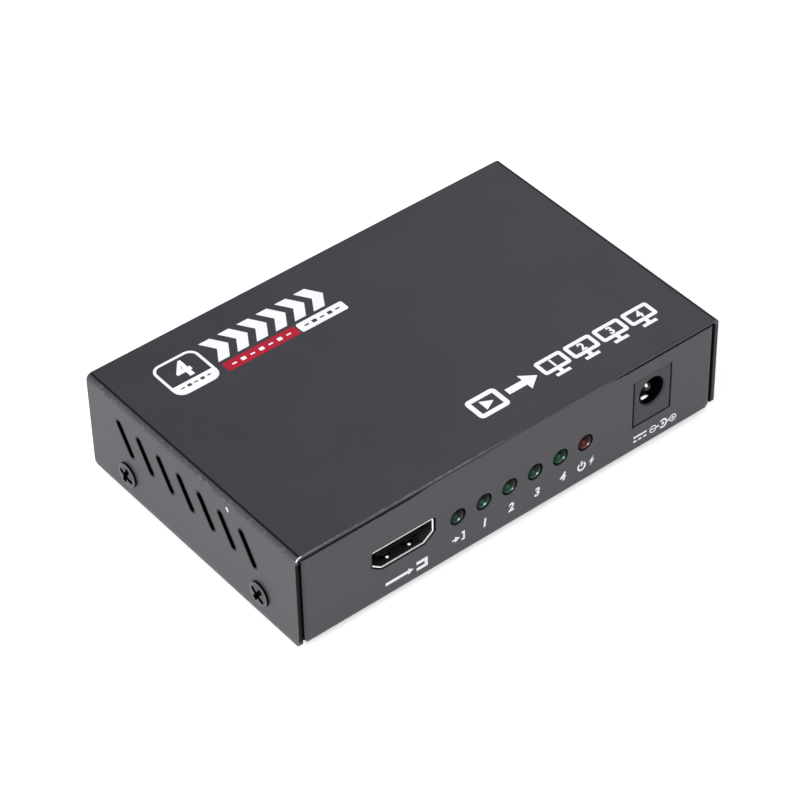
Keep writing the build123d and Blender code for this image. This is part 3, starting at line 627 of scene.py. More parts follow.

# each lamp's tint, how it leans in its hole, and where the painted glint of its cup shows, as shares of the
# lens radius; a tint's glow is the painted pool of light and its bright the painted glint
tints = {
    "grey": {"body": (0.008, 0.021, 0.015), "glow": (0.033, 0.066, 0.052), "bright": (0.45, 0.70, 0.62)},
    "teal": {"body": (0.003, 0.022, 0.014), "glow": (0.026, 0.095, 0.062), "bright": (0.45, 0.80, 0.65)},
    "green": {"body": (0.003, 0.027, 0.010), "glow": (0.035, 0.140, 0.060), "bright": (0.55, 0.92, 0.65)},
    "red": {"body": (0.042, 0.001, 0.005), "glow": (0.190, 0.030, 0.040), "bright": (0.95, 0.62, 0.62)},
}
lampFacts = {
    "input_lamp": {"tint": "grey", "lean": (-0.7, -0.7), "cupGlint": (0.05, -0.28)},
    "output_lamp_1": {"tint": "teal", "lean": (-0.6, -0.6), "cupGlint": (0.05, -0.26)},
    "output_lamp_2": {"tint": "green", "lean": (0.0, -0.3), "cupGlint": (0.36, -0.50)},
    "output_lamp_3": {"tint": "teal", "lean": (-0.2, -0.5), "cupGlint": (0.22, -0.28)},
    "output_lamp_4": {"tint": "green", "lean": (0.5, 0.6), "cupGlint": (0.40, -0.32)},
    "power_lamp": {"tint": "red", "lean": (0.0, -0.6), "cupGlint": (0.34, -0.34)},
}


def lampLens(name, facts, middle, radius):
    # tinted epoxy: painted shade above, a painted pool of light below where the dome gathers it, and the cup
    # behind it as a painted glint that glows a little
    finish = Finish(name)
    place = finish.place()
    flat = finish.stretch(place, (1, 0, 1))
    cloud = finish.noise(place, facts["cloudSize"])

    def near(right, up, fading, gone):
        away = finish.distance(flat, (middle[0] + right * radius, 0, middle[1] + up * radius))
        return finish.fall(away, fading * radius, gone * radius)

    body, glow, bright = facts["body"], tone(facts["glow"]), tone(facts["bright"])
    shade = finish.mix(near(*facts["litPool"]) * (0.7 + cloud * 0.5), tone(body), glow)
    shade = finish.mix(near(*facts["topShade"]), shade, tone(body, facts["topShadeTone"]))
    shade = finish.mix(near(*facts["glint"]) * facts["glintShare"], shade, glow)
    cupGlint = near(*facts["cupGlint"], *facts["cupGlintSize"])
    finish.set(Base_Color=finish.mix(cupGlint, shade, bright), Roughness=facts["roughness"] + cloud * 0.05)
    finish.set(Emission_Color=finish.mix(cupGlint, tone((0, 0, 0)), bright), Emission_Strength=facts["glintGlow"])
    finish.set(Specular_IOR_Level=facts["shine"], Normal=finish.bump(cloud, facts["bump"]))
    return finish.material


def lensMiddle(name, facts):
    # the hole's centre, then the smaller play that this lens has in it
    low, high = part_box(name)
    shift = (facts["hole"] - facts["radius"] - facts["play"]) * mm
    right, up = lampFacts[name]["lean"]
    return (low.x + high.x) / 2 + right * shift, (low.z + high.z) / 2 + up * shift


def lensPiece(name, facts, material):
    # radius and depth of the profile against its length; each profile point is carried round the axis
    axisX, axisZ = lensMiddle(name, facts)
    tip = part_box(name)[0].y - facts["forward"] * mm
    radius, soft, flange = facts["radius"], facts["round"], facts["flangeRadius"]
    body, length, count = facts["body"], facts["length"], facts["turns"]
    angle = np.linspace(0, math.pi / 2, facts["domeSteps"])[1:]
    flatness = 2 / facts["power"]
    sunk = facts["dome"] * (1 - np.cos(angle) ** flatness)
    dome = np.stack([radius * np.sin(angle) ** flatness, sunk], axis=1)
    profile = np.concatenate([dome, [[radius, body], [flange - soft, body], [flange, body + soft],
                                     [flange, length - soft], [flange - soft, length]]]) * mm
    turn = np.arange(count) * 2 * math.pi / count
    rings = np.stack([axisX + profile[:, :1] * np.cos(turn), tip + profile[:, 1:] + 0 * turn,
                      axisZ + profile[:, :1] * np.sin(turn)], axis=-1).reshape(-1, 3)
    points = np.concatenate([rings, [[axisX, tip, axisZ], [axisX, tip + length * mm, axisZ]]])
    faces = gridFaces(len(profile), count)
    front, back, last = len(rings), len(rings) + 1, len(rings) - count
    ahead = (np.arange(count) + 1) % count
    faces += np.stack([np.full(count, front), ahead, np.arange(count)], axis=1).tolist()
    faces += np.stack([np.full(count, back), last + np.arange(count), last + ahead], axis=1).tolist()
    slotName = "red_lens" if name == "power_lamp" else "green_lens"
    addPiece(name.replace("lamp", "lens"), points, faces, material, True, [name])


for name, facts in lampFacts.items():
    epoxy = lampLens(name + "Epoxy", {**epoxyFacts, **tints[facts["tint"]], **facts},
                     lensMiddle(name, lensFacts), lensFacts["radius"] * mm)
    lensPiece(name, lensFacts, epoxy)
print("lamps made:", len(lampFacts))


# The cover's screws: low heads with a driver cross, turned each a little differently

screwFacts = {"radius": 2.75, "rim": 0.46, "height": 0.70, "shoulder": 0.12, "shank": 1.4, "length": 5.0,
              "turns": 96, "shoulderSteps": 7, "domeSteps": 14, "domePower": 2.6, "centre": 0.02,
              "crossLength": 4.4, "crossWidth": 1.10, "crossDepth": 0.62, "crossTaper": 0.62,
              "angles": {(-1, 1): 21, (-1, -1): 34, (1, 1): 62, (1, -1): 5}, "sharp": 28}

# the hollow's depth is in metres, and the other places are shares of the head's radius or its rim's height
# the pale tone is the painted highlight on the shoulder ring, and the deep tone the painted shade in the cross
# and on the rim's side
screwPaintFacts = {"colour": (0.038, 0.038, 0.042), "wearAndSheen": (0.12, 0.12, 0.125),
                   "deep": (0.0006, 0.0006, 0.0008), "grainSize": 0.00025, "roughness": 0.42,
                   "bump": 0.000006, "edge": 0.00015, "shine": 0.35,
                   "hollow": (0.00003, 0.00007), "crossEnd": (0.84, 0.87), "ring": (0.74, 0.86, 0.93, 0.99),
                   "shoulderHighlightShare": 0.3, "side": (0.82, 0.96), "roughSpread": 0.15, "deepRough": 0.5}


def crossCutter(facts):
    # the twelve corners of a cross, whose arms are drawn in below the head's face and widened above it
    long, wide = facts["crossLength"] / 2, facts["crossWidth"] / 2
    arm = np.array([[long, -wide], [long, wide], [wide, wide]])
    turns = [np.array([[math.cos(q), -math.sin(q)], [math.sin(q), math.cos(q)]])
             for q in np.arange(4) * math.pi / 2]
    flat = np.concatenate([arm @ turn.T for turn in turns])
    drawn = np.sign(flat) * (np.abs(flat) > wide * 1.01) * long * (1 - facts["crossTaper"])
    levels = [(flat - drawn, facts["height"] - facts["crossDepth"]),
              (flat + drawn, facts["height"] + facts["crossDepth"])]
    points = np.concatenate([np.column_stack([corners, np.full(12, level)]) for corners, level in levels])
    return points, gridFaces(2, 12) + [list(range(12))[::-1], list(range(12, 24))]


def latheMesh(profile, turns):
    # each profile point, a radius and a height, is carried round the upright axis; flat faces close the ends
    turn = np.arange(turns) * 2 * math.pi / turns
    rings = np.stack([profile[:, :1] * np.cos(turn), profile[:, :1] * np.sin(turn),
                      profile[:, 1:] + 0 * turn], axis=-1).reshape(-1, 3)
    faces = gridFaces(len(profile), turns)
    faces.append(list(range(turns))[::-1])
    faces.append(list(range(len(rings) - turns, len(rings))))
    return rings, faces


def temporary(points, faces):
    meshData = bpy.data.meshes.new("temporary")
    meshData.from_pydata(points.tolist(), [], faces)
    holder = bpy.data.objects.new("temporary", meshData)
    scene.collection.objects.link(holder)
    return holder


def finishedMesh(holder):
    # the object's mesh with its modifiers or its text worked out
    bpy.context.view_layer.update()
    return bpy.data.meshes.new_from_object(holder.evaluated_get(bpy.context.evaluated_depsgraph_get()))


def screwHead(facts):
    # the shank's end, the head's underside, its rim and a flat dome up to the centre, less the cross
    radius, soft, rim, centre = facts["radius"], facts["shoulder"], facts["rim"], facts["centre"]
    angle = np.linspace(0, math.pi / 2, facts["shoulderSteps"])
    shoulder = np.stack([radius - soft + soft * np.cos(angle), rim - soft + soft * np.sin(angle)], axis=1)
    out = np.linspace(radius - soft, centre, facts["domeSteps"])[1:]
    share = out / (radius - soft)
    dome = np.stack([out, rim + (facts["height"] - rim) * (1 - share ** facts["domePower"])], axis=1)
    shank = [[centre, -facts["length"]], [facts["shank"], -facts["length"]], [facts["shank"], 0]]
    profile = np.concatenate([shank, [[radius - soft * 0.4, 0]], shoulder, dome])
    head = temporary(*latheMesh(profile, facts["turns"]))
    cutter = temporary(*crossCutter(facts))
    cut = head.modifiers.new("cross", "BOOLEAN")
    cut.operation, cut.solver, cut.object = "DIFFERENCE", "EXACT", cutter
    meshData = finishedMesh(head)
    for holder in (head, cutter):
        bpy.data.objects.remove(holder)
    return meshPoints(meshData), [list(polygon.vertices) for polygon in meshData.polygons]


def screwPaint(facts, paint, wall, spread, rise):
    # dark coat, a pale shoulder ring of painted highlight, the rim's side in painted shade and a black cross of
    # painted shade; the cross is where a point lies below the dome
    finish = grainFinish("screwBlack", paint)
    place = finish.place()
    x, y, z = finish.axes(place)
    out = finish.maths("ABSOLUTE", x) - wall
    flat = finish.node("ShaderNodeCombineXYZ", inputs={1: finish.maths("ABSOLUTE", y), 2: z})
    share = finish.distance(flat, (0, spread, rise)) / (facts["radius"] * mm)
    dome = facts["height"] - finish.maths("POWER", share, facts["domePower"]) * (facts["height"] - facts["rim"])
    # painted shade in the cross hollow
    hollow = finish.ease(dome * mm - out, *paint["hollow"]) * finish.fall(share, *paint["crossEnd"])
    grain, shade = speckled(finish, place, paint)
    # painted highlight on the shoulder ring
    ring = finish.band(share, *paint["ring"]) * paint["shoulderHighlightShare"]
    shade = finish.mix(ring, shade, tone(paint["wearAndSheen"]))
    # painted shade on the rim's side
    side = finish.fall(out / (facts["rim"] * mm), *paint["side"])
    dark = finish.maths("MAXIMUM", hollow, side)
    rough = paint["roughness"] + (grain - 0.5) * paint["roughSpread"] + dark * paint["deepRough"]
    finish.set(Base_Color=finish.mix(dark, shade, tone(paint["deep"])), Roughness=rough, Metallic=dark)
    return finish.material


def coverScrews(facts):
    # one head, turned by its own angle about its axis and set on each side at the front and at the back
    low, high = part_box("cover_screws")
    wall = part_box("top_cover")[1].x
    spread, rise = high.y - facts["radius"] * mm, (low.z + high.z) / 2
    points, faces = screwHead(facts)
    allPoints, allFaces = [], []
    for (side, end), degrees in facts["angles"].items():
        turn = math.radians(degrees * side)
        flat = points[:, :2] @ np.array([[math.cos(turn), math.sin(turn)], [-math.sin(turn), math.cos(turn)]])
        allFaces += shiftFaces(faces, len(allPoints) * len(points))
        allPoints.append(np.stack([side * (wall + points[:, 2] * mm), end * spread + side * flat[:, 0] * mm,
                                   rise + flat[:, 1] * mm], axis=1))
    paint = screwPaint(facts, screwPaintFacts, wall, spread, rise)
    piece = addPiece("screwHeads", np.concatenate(allPoints), allFaces, paint, True,
                     ["cover_screws"])
    piece.data.set_sharp_from_angle(angle=math.radians(facts["sharp"]))


coverScrews(screwFacts)
print("screws made")


# Small round dimples on the floor of each socket's mouth, where the springs press on a plug

dimpleFacts = {"depth": 1.35, "apart": 2.65, "radius": 0.42, "height": 0.30, "turns": 24, "steps": 7,
               "foot": 0.05, "flatTop": 0.1, "floor": 0.4, "colour": (0.92, 0.92, 0.90), "grainSize": 0.0002,
               "roughness": 0.25, "bump": 0.000002, "metallic": 0.3, "edge": 0.00005, "glintGlow": 0.5}


def dimplePiece(name, facts, material):
    # a quarter oval carried round its upright axis, once on each side of the mouth's middle
    low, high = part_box(name + "_shell")
    face = low.y if abs(low.y) > abs(high.y) else high.y
    inward = 1 if face < 0 else -1
    floorZ = (high.z - socketFacts["mouthHeight"]) / mm + facts["floor"]
    angle = np.linspace(math.pi / 2, facts["flatTop"], facts["steps"])
    oval = np.stack([facts["radius"] * np.sin(angle), facts["height"] * np.cos(angle)], axis=1)
    points, faces = latheMesh(np.concatenate([[[facts["radius"], -facts["foot"]]], oval]), facts["turns"])
    allPoints, allFaces = [], []
    for side in (-1, 1):
        x = (low.x + high.x) / 2 / mm + side * facts["apart"]
        middle = [x, face / mm + inward * facts["depth"], floorZ]
        allFaces += shiftFaces(faces, len(allPoints) * len(points))
        allPoints.append((points + middle) * mm)
    addPiece(name + "Dimples", np.concatenate(allPoints), allFaces, material, True)


dimpleFinish = grainFinish("dimpleNickel", dimpleFacts)
# painted glint: the dimples glow a little, though they are no lamp
dimpleFinish.set(Emission_Color=tone(dimpleFacts["colour"]), Emission_Strength=dimpleFacts["glintGlow"])
for socket in sockets:
    dimplePiece(socket, dimpleFacts, dimpleFinish.material)
print("dimples made")


# Prints: flat shapes of ink on the top and the panels, all in millimetres

inkFacts = {"rise": 0.03, "sink": -0.005, "grainSize": 0.00022, "driftSize": 0.003, "tones": (0.3, 0.7),
            "roughness": 0.46, "roughSpread": 0.2, "bump": 0.000006, "slant": 0.12, "weight": 0.032}
# each ink's colour and gloss
inkTones = {"white": ((0.86, 0.86, 0.87), 0.5), "red": ((0.41, 0.008, 0.026), 0.2),
            "dark": ((0.035, 0.035, 0.040), 0.5)}
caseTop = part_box("top_cover")[1].z / mm
frontFace = -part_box("base_tray")[0].y / mm
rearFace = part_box("base_tray")[1].y / mm


def printInk(name, colour, shine, facts):
    # screen print ink: faint pinholes and a soft grain
    finish = Finish(name)
    place = finish.place()
    grain = finish.noise(place, facts["grainSize"], 3.0)
    drift = finish.noise(place, facts["driftSize"])
    blend = finish.ease(grain * 0.7 + drift * 0.3, *facts["tones"])
    rough = facts["roughness"] + (grain - 0.5) * facts["roughSpread"]
    finish.set(Base_Color=finish.mix(blend, tone(colour, 0.90), tone(colour, 1.04)), Roughness=rough)
    finish.set(Specular_IOR_Level=shine, Normal=finish.bump(grain, facts["bump"]))
    return finish.material


def onTop(flat):
    # columns are right, back and rise
    return np.stack([flat[:, 0], flat[:, 1], caseTop + flat[:, 2]], axis=1) * mm


def onFront(flat):
    return np.stack([flat[:, 0], -frontFace - flat[:, 2], flat[:, 1]], axis=1) * mm


def onRear(flat):
    return np.stack([-flat[:, 0], rearFace + flat[:, 2], flat[:, 1]], axis=1) * mm


def arc(x, y, radius, start, end, steps):
    # points at even angles round x and y, from start to end in degrees
    turn = np.radians(np.linspace(start, end, steps))
    return np.stack([x + radius * np.cos(turn), y + radius * np.sin(turn)], axis=1)


def circle(x, y, radius, count):
    # a full turn of count points
    return arc(x, y, radius, 0, 360, count + 1)[:-1]


def roundBox(x, y, width, height, radius):
    # quarter circles about the four inner corners, one after the other
    across, up = width / 2 - radius, height / 2 - radius
    corners = [(1, 1), (-1, 1), (-1, -1), (1, -1)]
    return np.concatenate([arc(x + right * across, y + above * up, radius, quarter * 90, quarter * 90 + 90, 6)
                           for quarter, (right, above) in enumerate(corners)])


def arcBand(x, y, radius, width, start, end, steps):
    # the outer arc one way and the inner arc back
    outer = arc(x, y, radius + width / 2, start, end, steps)
    return np.concatenate([outer, arc(x, y, radius - width / 2, start, end, steps)[::-1]])


def bar(left, low, right, high):
    # four corners, from the lower left one round to the upper left one
    return np.array([[left, low], [right, low], [right, high], [left, high]], float)


def arrow(start, tip, y, head, half, wide):
    # a shaft and a head as long as head, with their half widths
    neck = tip - head
    return np.array([[start, y - half], [neck, y - half], [neck, y - wide], [tip, y],
                     [neck, y + wide], [neck, y + half], [start, y + half]])


def frameBand(x, y, width, height, radius, line):
    # a rounded box, and the same one drawn in by the line's width
    inner = roundBox(x, y, width - 2 * line, height - 2 * line, max(radius - line, 0.05))
    return roundBox(x, y, width, height, radius), inner


def inkSlab(outer, inner, low, high, start):
    # a closed slab: the outline carried from low to high, with a flat face or a ring at each end
    count = len(outer)
    levels = [(outer, low), (outer, high)] + ([(inner, high), (inner, low)] if inner is not None else [])
    points = np.concatenate([np.column_stack([loop, np.full(count, level)]) for loop, level in levels])
    faces = gridFaces(len(levels), count, start)
    if inner is None:
        faces.append((start + count + np.arange(count)).tolist())
        faces.append((start + np.arange(count)[::-1]).tolist())
    else:
        ahead = (np.arange(count) + 1) % count
        last = 3 * count
        ring = np.stack([last + np.arange(count), last + ahead, ahead, np.arange(count)], axis=1)
        faces += (ring + start).tolist()
    return points, faces


def inkPiece(name, shapes, carrier, ink, low=inkFacts["sink"], high=inkFacts["rise"]):
    # a shape is an outline, or a pair of an outer and an inner one
    points, faces, start = [], [], 0
    for shape in shapes:
        outer, inner = shape if isinstance(shape, tuple) else (shape, None)
        newPoints, newFaces = inkSlab(outer, inner, low, high, start)
        points.append(newPoints)
        faces += newFaces
        start += len(newPoints)
    addPiece(name, carrier(np.concatenate(points)), faces, inks[ink])


def numberPiece(name, text, x, y, height, carrier, slant=inkFacts["slant"], weight=inkFacts["weight"]):
    # a plain white numeral, centred on its place and as tall as height
    curve = bpy.data.curves.new(name, "FONT")
    curve.body = text
    curve.resolution_u = 4
    curve.offset = weight
    curve.shear = slant
    curve.extrude = 0.5
    holder = bpy.data.objects.new(name + "Curve", curve)
    scene.collection.objects.link(holder)
    meshData = finishedMesh(holder)
    bpy.data.objects.remove(holder)
    flat = meshPoints(meshData)
    middle = (flat.min(0) + flat.max(0)) / 2
    scale = height / (flat[:, 1].max() - flat[:, 1].min())
    level = np.where(flat[:, 2] > 0, inkFacts["rise"], inkFacts["sink"])
    flat = np.column_stack([(flat[:, :2] - middle[:2]) * scale + [x, y], level])
    faces = [list(polygon.vertices) for polygon in meshData.polygons]
    bpy.data.meshes.remove(meshData)
    addPiece(name, carrier(flat), faces, inks["white"])


inks = {key: printInk("ink" + key.capitalize(), *looks, inkFacts) for key, looks in inkTones.items()}

# Top, near the front: one source, an arrow and four numbered screens
# from "mark" on, each value is a share of another size
stripFacts = {"left": -2.2, "low": -26.0, "height": 5.8, "source": 7.4, "gap": 1.2, "arrow": 7.6,
              "screen": 6.7, "screenGap": 0.75, "line": 1.1, "radius": 1.0, "foot": 0.80,
              "mark": 0.24, "markBack": 0.8, "markTip": 1.1, "arrowHead": 0.55, "arrowWide": 0.40,
              "arrowHalf": 0.75, "screenRadius": 0.7, "screenLine": 0.8,
              "number": 0.52, "footWide": 2.2, "neckWide": 0.6}


def topStrip(facts):
    # laid out from left to right: the source's frame and mark, the arrow, and each screen on its foot
    low, height, line, foot = facts["low"], facts["height"], facts["line"], facts["foot"]
    middle = low + height / 2
    x = facts["left"] + facts["source"] / 2
    shapes = [frameBand(x, middle, facts["source"], height, facts["radius"], line)]
    size = height * facts["mark"]
    back, tip = x - size * facts["markBack"], x + size * facts["markTip"]
    shapes.append(np.array([[back, middle - size], [tip, middle], [back, middle + size]]))
    start = facts["left"] + facts["source"] + facts["gap"]
    end = start + facts["arrow"]
    shapes.append(arrow(start, end, middle, height * facts["arrowHead"], line * facts["arrowHalf"],
                        height * facts["arrowWide"]))
    screenHeight = height - 2 * foot
    screenMiddle = low + height - screenHeight / 2
    wide, neck = foot * facts["footWide"], foot * facts["neckWide"]
    for number in range(1, 5):
        x = end + facts["gap"] + facts["screen"] / 2 + (number - 1) * (facts["screen"] + facts["screenGap"])
        shapes.append(frameBand(x, screenMiddle, facts["screen"], screenHeight,
                                facts["radius"] * facts["screenRadius"], line * facts["screenLine"]))
        shapes.append(bar(x - wide, low, x + wide, low + foot))
        shapes.append(bar(x - neck, low + foot, x + neck, low + foot * 2))
        numberPiece(f"screenNumber{number}", str(number), x, screenMiddle, screenHeight * facts["number"],
                    onTop, 0)
    inkPiece("topStrip", shapes, onTop, "white")


topStrip(stripFacts)

# Top, near the back: a square badge with a plain number, chevrons, and a red and a white bar
badgeFacts = {"x": -37.15, "y": 20.95, "width": 10.5, "height": 10.3, "radius": 2.2, "line": 0.62, "band": 2.5,
              "number": "4", "numberHeight": 5.0, "weight": 0.036, "marks": 5, "markSize": 0.45}
groupFacts = {"left": -30.5, "right": -2.4, "low": 19.4, "chevronHeight": 6.7, "chevrons": 6, "stroke": 2.7,
              "point": 2.1, "barLow": 15.8, "barHeight": 2.75, "barRight": -1.2, "whiteFrom": -12.6,
              "barGap": 0.35, "barRadius": 0.5, "markSize": 0.55, "redMarks": 7, "whiteMarks": 5}
# a mark's sizes as shares of its bar's mark size, and its faces as shares of the ink's rise
markFacts = {"width": 2.0, "heights": (0.7, 1.6), "round": 0.3, "low": 0.9, "high": 1.5}


def markPieces(name, left, right, middle, count, size, ink, facts=markFacts):
    # a row of plain marks, short and tall in turn, on a printed bar
    places = left + (right - left) * (np.arange(count) + 1) / (count + 1)
    width, radius = size * facts["width"], size * facts["round"]
    shapes = [roundBox(x, middle, width, size * facts["heights"][index % 2], radius)
              for index, x in enumerate(places)]
    inkPiece(name, shapes, onTop, ink, inkFacts["rise"] * facts["low"], inkFacts["rise"] * facts["high"])


def topBadge(badge):
    # a frame whose foot is filled by a band: the inner outline's two lower corners and a level top
    x, y, line, radius = badge["x"], badge["y"], badge["line"], badge["radius"]
    width, height = badge["width"], badge["height"]
    inside = roundBox(x, y, width - 2 * line, height - 2 * line, radius - line)
    left, right = inside[:, 0].min(), inside[:, 0].max()
    low = y - height / 2 + line
    top = low + badge["band"]
    band = np.concatenate([[[left, top]], inside[len(inside) // 2:], [[right, top]]])
    inkPiece("badgeFrame", [frameBand(x, y, width, height, radius, line), band], onTop, "white")
    numberPiece("badgeNumber", badge["number"], x, y + badge["band"] / 2, badge["numberHeight"], onTop,
                0, badge["weight"])
    markPieces("badgeMarks", left, right, (low + top) / 2, badge["marks"], badge["markSize"], "dark")


def topGroup(group):
    # chevrons at an even step, over two bars that follow each other
    stroke, point, low = group["stroke"], group["point"], group["low"]
    middle, top = low + group["chevronHeight"] / 2, low + group["chevronHeight"]
    shapes = []
    for left in np.linspace(group["left"], group["right"] - stroke - point, group["chevrons"]):
        shapes.append(np.array([[left, low], [left + stroke, low], [left + stroke + point, middle],
                                [left + stroke, top], [left, top], [left + point, middle]]))
    barMiddle = group["barLow"] + group["barHeight"] / 2
    bars = {"red": (group["left"], group["whiteFrom"] - group["barGap"]),
            "white": (group["whiteFrom"], group["barRight"])}
    height, radius = group["barHeight"], group["barRadius"]
    outlines = {ink: roundBox((left + right) / 2, barMiddle, right - left, height, radius)
                for ink, (left, right) in bars.items()}
    inkPiece("topGroup", shapes + [outlines["white"]], onTop, "white")
    inkPiece("topRedBar", [outlines["red"]], onTop, "red")
    markPieces("redBarMarks", *bars["red"], barMiddle, group["redMarks"], group["markSize"], "white")
    markPieces("whiteBarMarks", *bars["white"], barMiddle, group["whiteMarks"], group["markSize"], "dark")


topBadge(badgeFacts)
topGroup(groupFacts)

# Panels: numbers and plain signs under the sockets, lamps and power jack
# a sign has its place, right and up, and then an arrow's length, height, line and box wall, or a sign's height
# and line; inputArrow, power and bolt stand from their lamp and the numbers' height
labelFacts = {"numberHeight": 2.15, "middle": 6.2, "shift": 0.35, "rearDrop": 1.0, "rearGrowth": 1.1,
              "inputArrow": (0.35, 0.0, 3.1, 2.2, 0.42, 0.8),
              "socketArrow": (-26.7, 5.05, 10.2, 2.3, 0.74, 2.7),
              "power": (-0.9, -0.1, 2.2, 0.42), "bolt": (1.7, -0.1, 2.3), "supply": (30.6, 4.8, 2.3, 0.44)}


def boxMiddle(name):
    low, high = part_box(name)
    return (low.x + high.x) / 2 / mm


def arrowSign(x, y, length, height, line, wall):
    # an arrow that runs into an open box
    right, top, low = x + length / 2, y + height / 2, y - height / 2
    inner, left = right - line, right - wall
    box = np.array([[left, low], [right, low], [right, top], [left, top],
                    [left, top - line], [inner, top - line], [inner, low + line], [left, low + line]])
    return [arrow(x - length / 2, left - line, y, height * 0.55, line / 2, height * 0.34), box]


def powerSign(x, y, height, line):
    # a ring open at the top, and a stroke through the opening
    radius = height / 2 - line / 2
    return [arcBand(x, y - line * 0.3, radius, line, 125, 415, 40),
            bar(x - line / 2, y + radius * 0.05, x + line / 2, y + height / 2 + line * 0.35)]


def boltSign(x, y, height):
    # a plain lightning stroke, its corners as shares of its height
    corners = np.array([[0.18, 0.50], [-0.30, -0.08], [-0.04, -0.08],
                        [-0.18, -0.50], [0.30, 0.10], [0.04, 0.10]])
    return [corners[::-1] * height + [x, y]]


def supplySign(left, y, height, line):
    # direct current: a line above three dashes; then the plug's polarity, a dot in a ring between two signs
    width = height * 1.5
    dash = width / 4.2
    shapes = [bar(left, y + line * 0.7, left + width, y + line * 1.7)]
    for start in left + np.arange(3) * (width - dash) / 2:
        shapes.append(bar(start, y - line * 1.7, start + dash, y - line * 0.7))
    ringX, radius = left + width + height * 1.9, height * 0.42
    shapes += [arcBand(ringX, y, radius, line, -135, 135, 30), circle(ringX, y, line * 0.8, 20)]
    minusX, plusX = ringX - height * 1.15, ringX + height * 1.15
    shapes.append(bar(minusX + height * 0.42, y - line / 2, ringX - radius - line * 0.2, y + line / 2))
    shapes.append(bar(ringX + radius + line * 0.7, y - line / 2, plusX - height * 0.42, y + line / 2))
    reach, arm, half = height * 0.40, height * 0.20, line * 0.3
    for centre in (minusX, plusX):
        shapes.append((circle(centre, y, reach, 32), circle(centre, y, reach - line * 0.55, 32)))
        shapes.append(bar(centre - arm, y - half, centre + arm, y + half))
    shapes.append(bar(plusX - half, y + half, plusX + half, y + arm))
    shapes.append(bar(plusX - half, y - arm, plusX + half, y - half))
    return shapes


def panelPrints(facts):
    # numbers at an even pitch under the lamps on the front, and one under each socket on the rear
    middle, height = facts["middle"], facts["numberHeight"]
    pitch = (boxMiddle("output_lamp_4") - boxMiddle("output_lamp_1")) / 3
    for number in range(1, 5):
        x = boxMiddle("output_lamp_2") + (number - 2) * pitch + facts["shift"]
        numberPiece(f"lampNumber{number}", str(number), x, middle, height, onFront)
        numberPiece(f"socketNumber{number}", str(number), -boxMiddle(f"output_socket_{number}_shell"),
                    middle - facts["rearDrop"], height * facts["rearGrowth"], onRear)
    inputX, powerX = boxMiddle("input_lamp"), boxMiddle("power_lamp")
    signs = arrowSign(*facts["socketArrow"]) + supplySign(*facts["supply"])
    for sign, lampX, (right, up, *sizes) in ((arrowSign, inputX, facts["inputArrow"]),
                                             (powerSign, powerX, facts["power"]),
                                             (boltSign, powerX, facts["bolt"])):
        signs += sign(lampX + right, middle + up, *sizes)
    inkPiece("frontSigns", signs, onFront, "white")


panelPrints(labelFacts)
print("prints made")


# Camera: the photograph's viewing angle

cameraFacts = {"azimuth": -38.21, "elevation": 41.86, "roll": -1.285, "yaw": 0.1, "pitch": 0.174,
               "distance": 0.6356, "focalPixels": 3239.4, "imagePixels": 800, "sensor": 36.0,
               "target": (0.0, 0.0, 0.0131), "near": 0.01, "far": 20}


def outward(facts):
    # the way from the object: azimuth turns from its front to the right, elevation lifts
    a, e = math.radians(facts["azimuth"]), math.radians(facts["elevation"])
    return np.array([math.sin(a) * math.cos(e), -math.cos(a) * math.cos(e), math.sin(e)])


def addPlaced(name, data, sides, eye):
    # an object whose own axes are the three sides
    placed = bpy.data.objects.new(name, data)
    matrix = np.eye(4)
    matrix[:3, :3] = np.transpose(sides)
    matrix[:3, 3] = eye
    placed.matrix_world = Matrix(matrix.tolist())
    scene.collection.objects.link(placed)
    return placed


def turnMatrix(axis, degrees):
    # a turn about one axis of the camera's own right, up and forward
    c, s = math.cos(math.radians(degrees)), math.sin(math.radians(degrees))
    rows = {"x": [[1, 0, 0], [0, c, s], [0, -s, c]], "y": [[c, 0, s], [0, 1, 0], [-s, 0, c]],
            "z": [[c, s, 0], [-s, c, 0], [0, 0, 1]]}
    return np.array(rows[axis])


def addCamera(facts):
    # rows are right, up and forward; roll, then yaw, then pitch turn them about the eye
    back = outward(facts)
    right = np.cross(-back, [0, 0, 1])
    right /= np.linalg.norm(right)
    rows = np.array([right, np.cross(right, -back), -back])
    for axis, degrees in (("z", facts["roll"]), ("y", facts["yaw"]), ("x", facts["pitch"])):
        rows = turnMatrix(axis, degrees) @ rows
    cameraData = bpy.data.cameras.new("viewCamera")
    cameraData.sensor_width = facts["sensor"]
    cameraData.lens = facts["sensor"] * facts["focalPixels"] / facts["imagePixels"]
    cameraData.clip_start = facts["near"]
    cameraData.clip_end = facts["far"]
    eye = np.array(facts["target"]) + back * facts["distance"]
    scene.camera = addPlaced("viewCamera", cameraData, [rows[0], rows[1], -rows[2]], eye)


addCamera(cameraFacts)

# Floor, world and soft lights

floorFacts = {"size": 3.0, "colour": (0.80, 0.80, 0.80), "glow": 0.45}
worldFacts = {"colour": (0.46, 0.46, 0.50), "white": (1.0, 1.0, 1.0)}
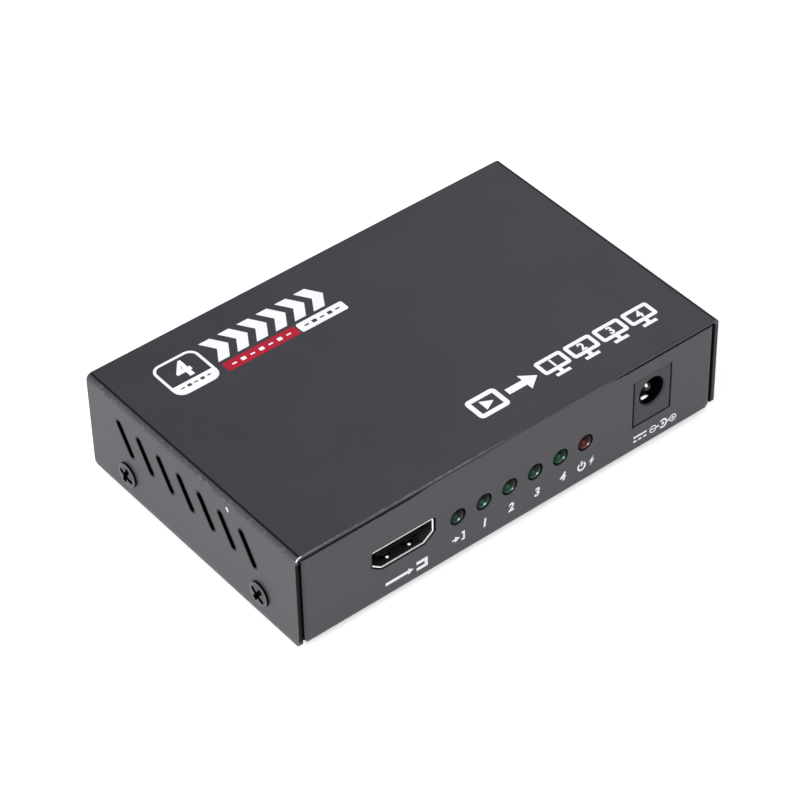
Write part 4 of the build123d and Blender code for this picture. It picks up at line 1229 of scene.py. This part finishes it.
# azimuth and elevation in degrees, distance and width in metres, power in watts
boxes = {
    "leftBox": {"azimuth": -80, "elevation": 28, "distance": 0.9, "width": 0.6, "power": 7.9},
    "frontBox": {"azimuth": -15, "elevation": 48, "distance": 1.0, "width": 0.5, "power": 2.5},
    "topBox": {"azimuth": 30, "elevation": 80, "distance": 1.0, "width": 0.6, "power": 1.2},
    "rightBox": {"azimuth": 125, "elevation": 42, "distance": 0.32, "width": 0.18, "power": 0.06},
}


def addFloor(facts):
    # a flat sheet; white where the camera or a gloss sees it lit, greyer in the object's shadow
    half = facts["size"] / 2
    corners = [(-half, -half, 0), (half, -half, 0), (half, half, 0), (-half, half, 0)]
    meshData = bpy.data.meshes.new("floor")
    meshData.from_pydata(corners, [], [(0, 1, 2, 3)])
    floor = bpy.data.objects.new("floor", meshData)
    scene.collection.objects.link(floor)
    finish = Finish("floorPaper")
    path = finish.tree.nodes.new("ShaderNodeLightPath")
    camera, gloss, through = [Wire(finish, path.outputs[f"Is {kind} Ray"])
                              for kind in ("Camera", "Glossy", "Transmission")]
    seen = finish.ease(camera + gloss + through, 0.0, 1.0)
    finish.set(Base_Color=tone(facts["colour"]), Roughness=1.0, Specular_IOR_Level=0.0)
    glow = finish.mix(seen, tone((0, 0, 0)), tone((1, 1, 1)))
    finish.set(Emission_Color=glow, Emission_Strength=facts["glow"])
    meshData.materials.append(finish.material)


def addWorld(facts):
    # grey for the light that falls on the object, white where the camera looks past it
    world = bpy.data.worlds.new("studio")
    world.use_nodes = True
    scene.world = world
    tree = world.node_tree
    path = tree.nodes.new("ShaderNodeLightPath")
    mix = tree.nodes.new("ShaderNodeMix")
    mix.data_type = "RGBA"
    mix.inputs[6].default_value = tone(facts["colour"])
    mix.inputs[7].default_value = tone(facts["white"])
    tree.links.new(path.outputs["Is Camera Ray"], mix.inputs[0])
    tree.links.new(mix.outputs[2], tree.nodes["Background"].inputs["Color"])


def addBox(name, facts):
    # a square light on its spot round the object, which it faces
    away = outward(facts)
    side = np.cross([0, 0, 1], away)
    side /= np.linalg.norm(side)
    lightData = bpy.data.lights.new(name, "AREA")
    lightData.shape = "SQUARE"
    lightData.size = facts["width"]
    lightData.energy = facts["power"]
    addPlaced(name, lightData, [side, np.cross(away, side), away], away * facts["distance"])


addFloor(floorFacts)
addWorld(worldFacts)
for name, facts in boxes.items():
    addBox(name, facts)
scene.view_settings.view_transform = "Standard"
print("camera, floor and lights placed")
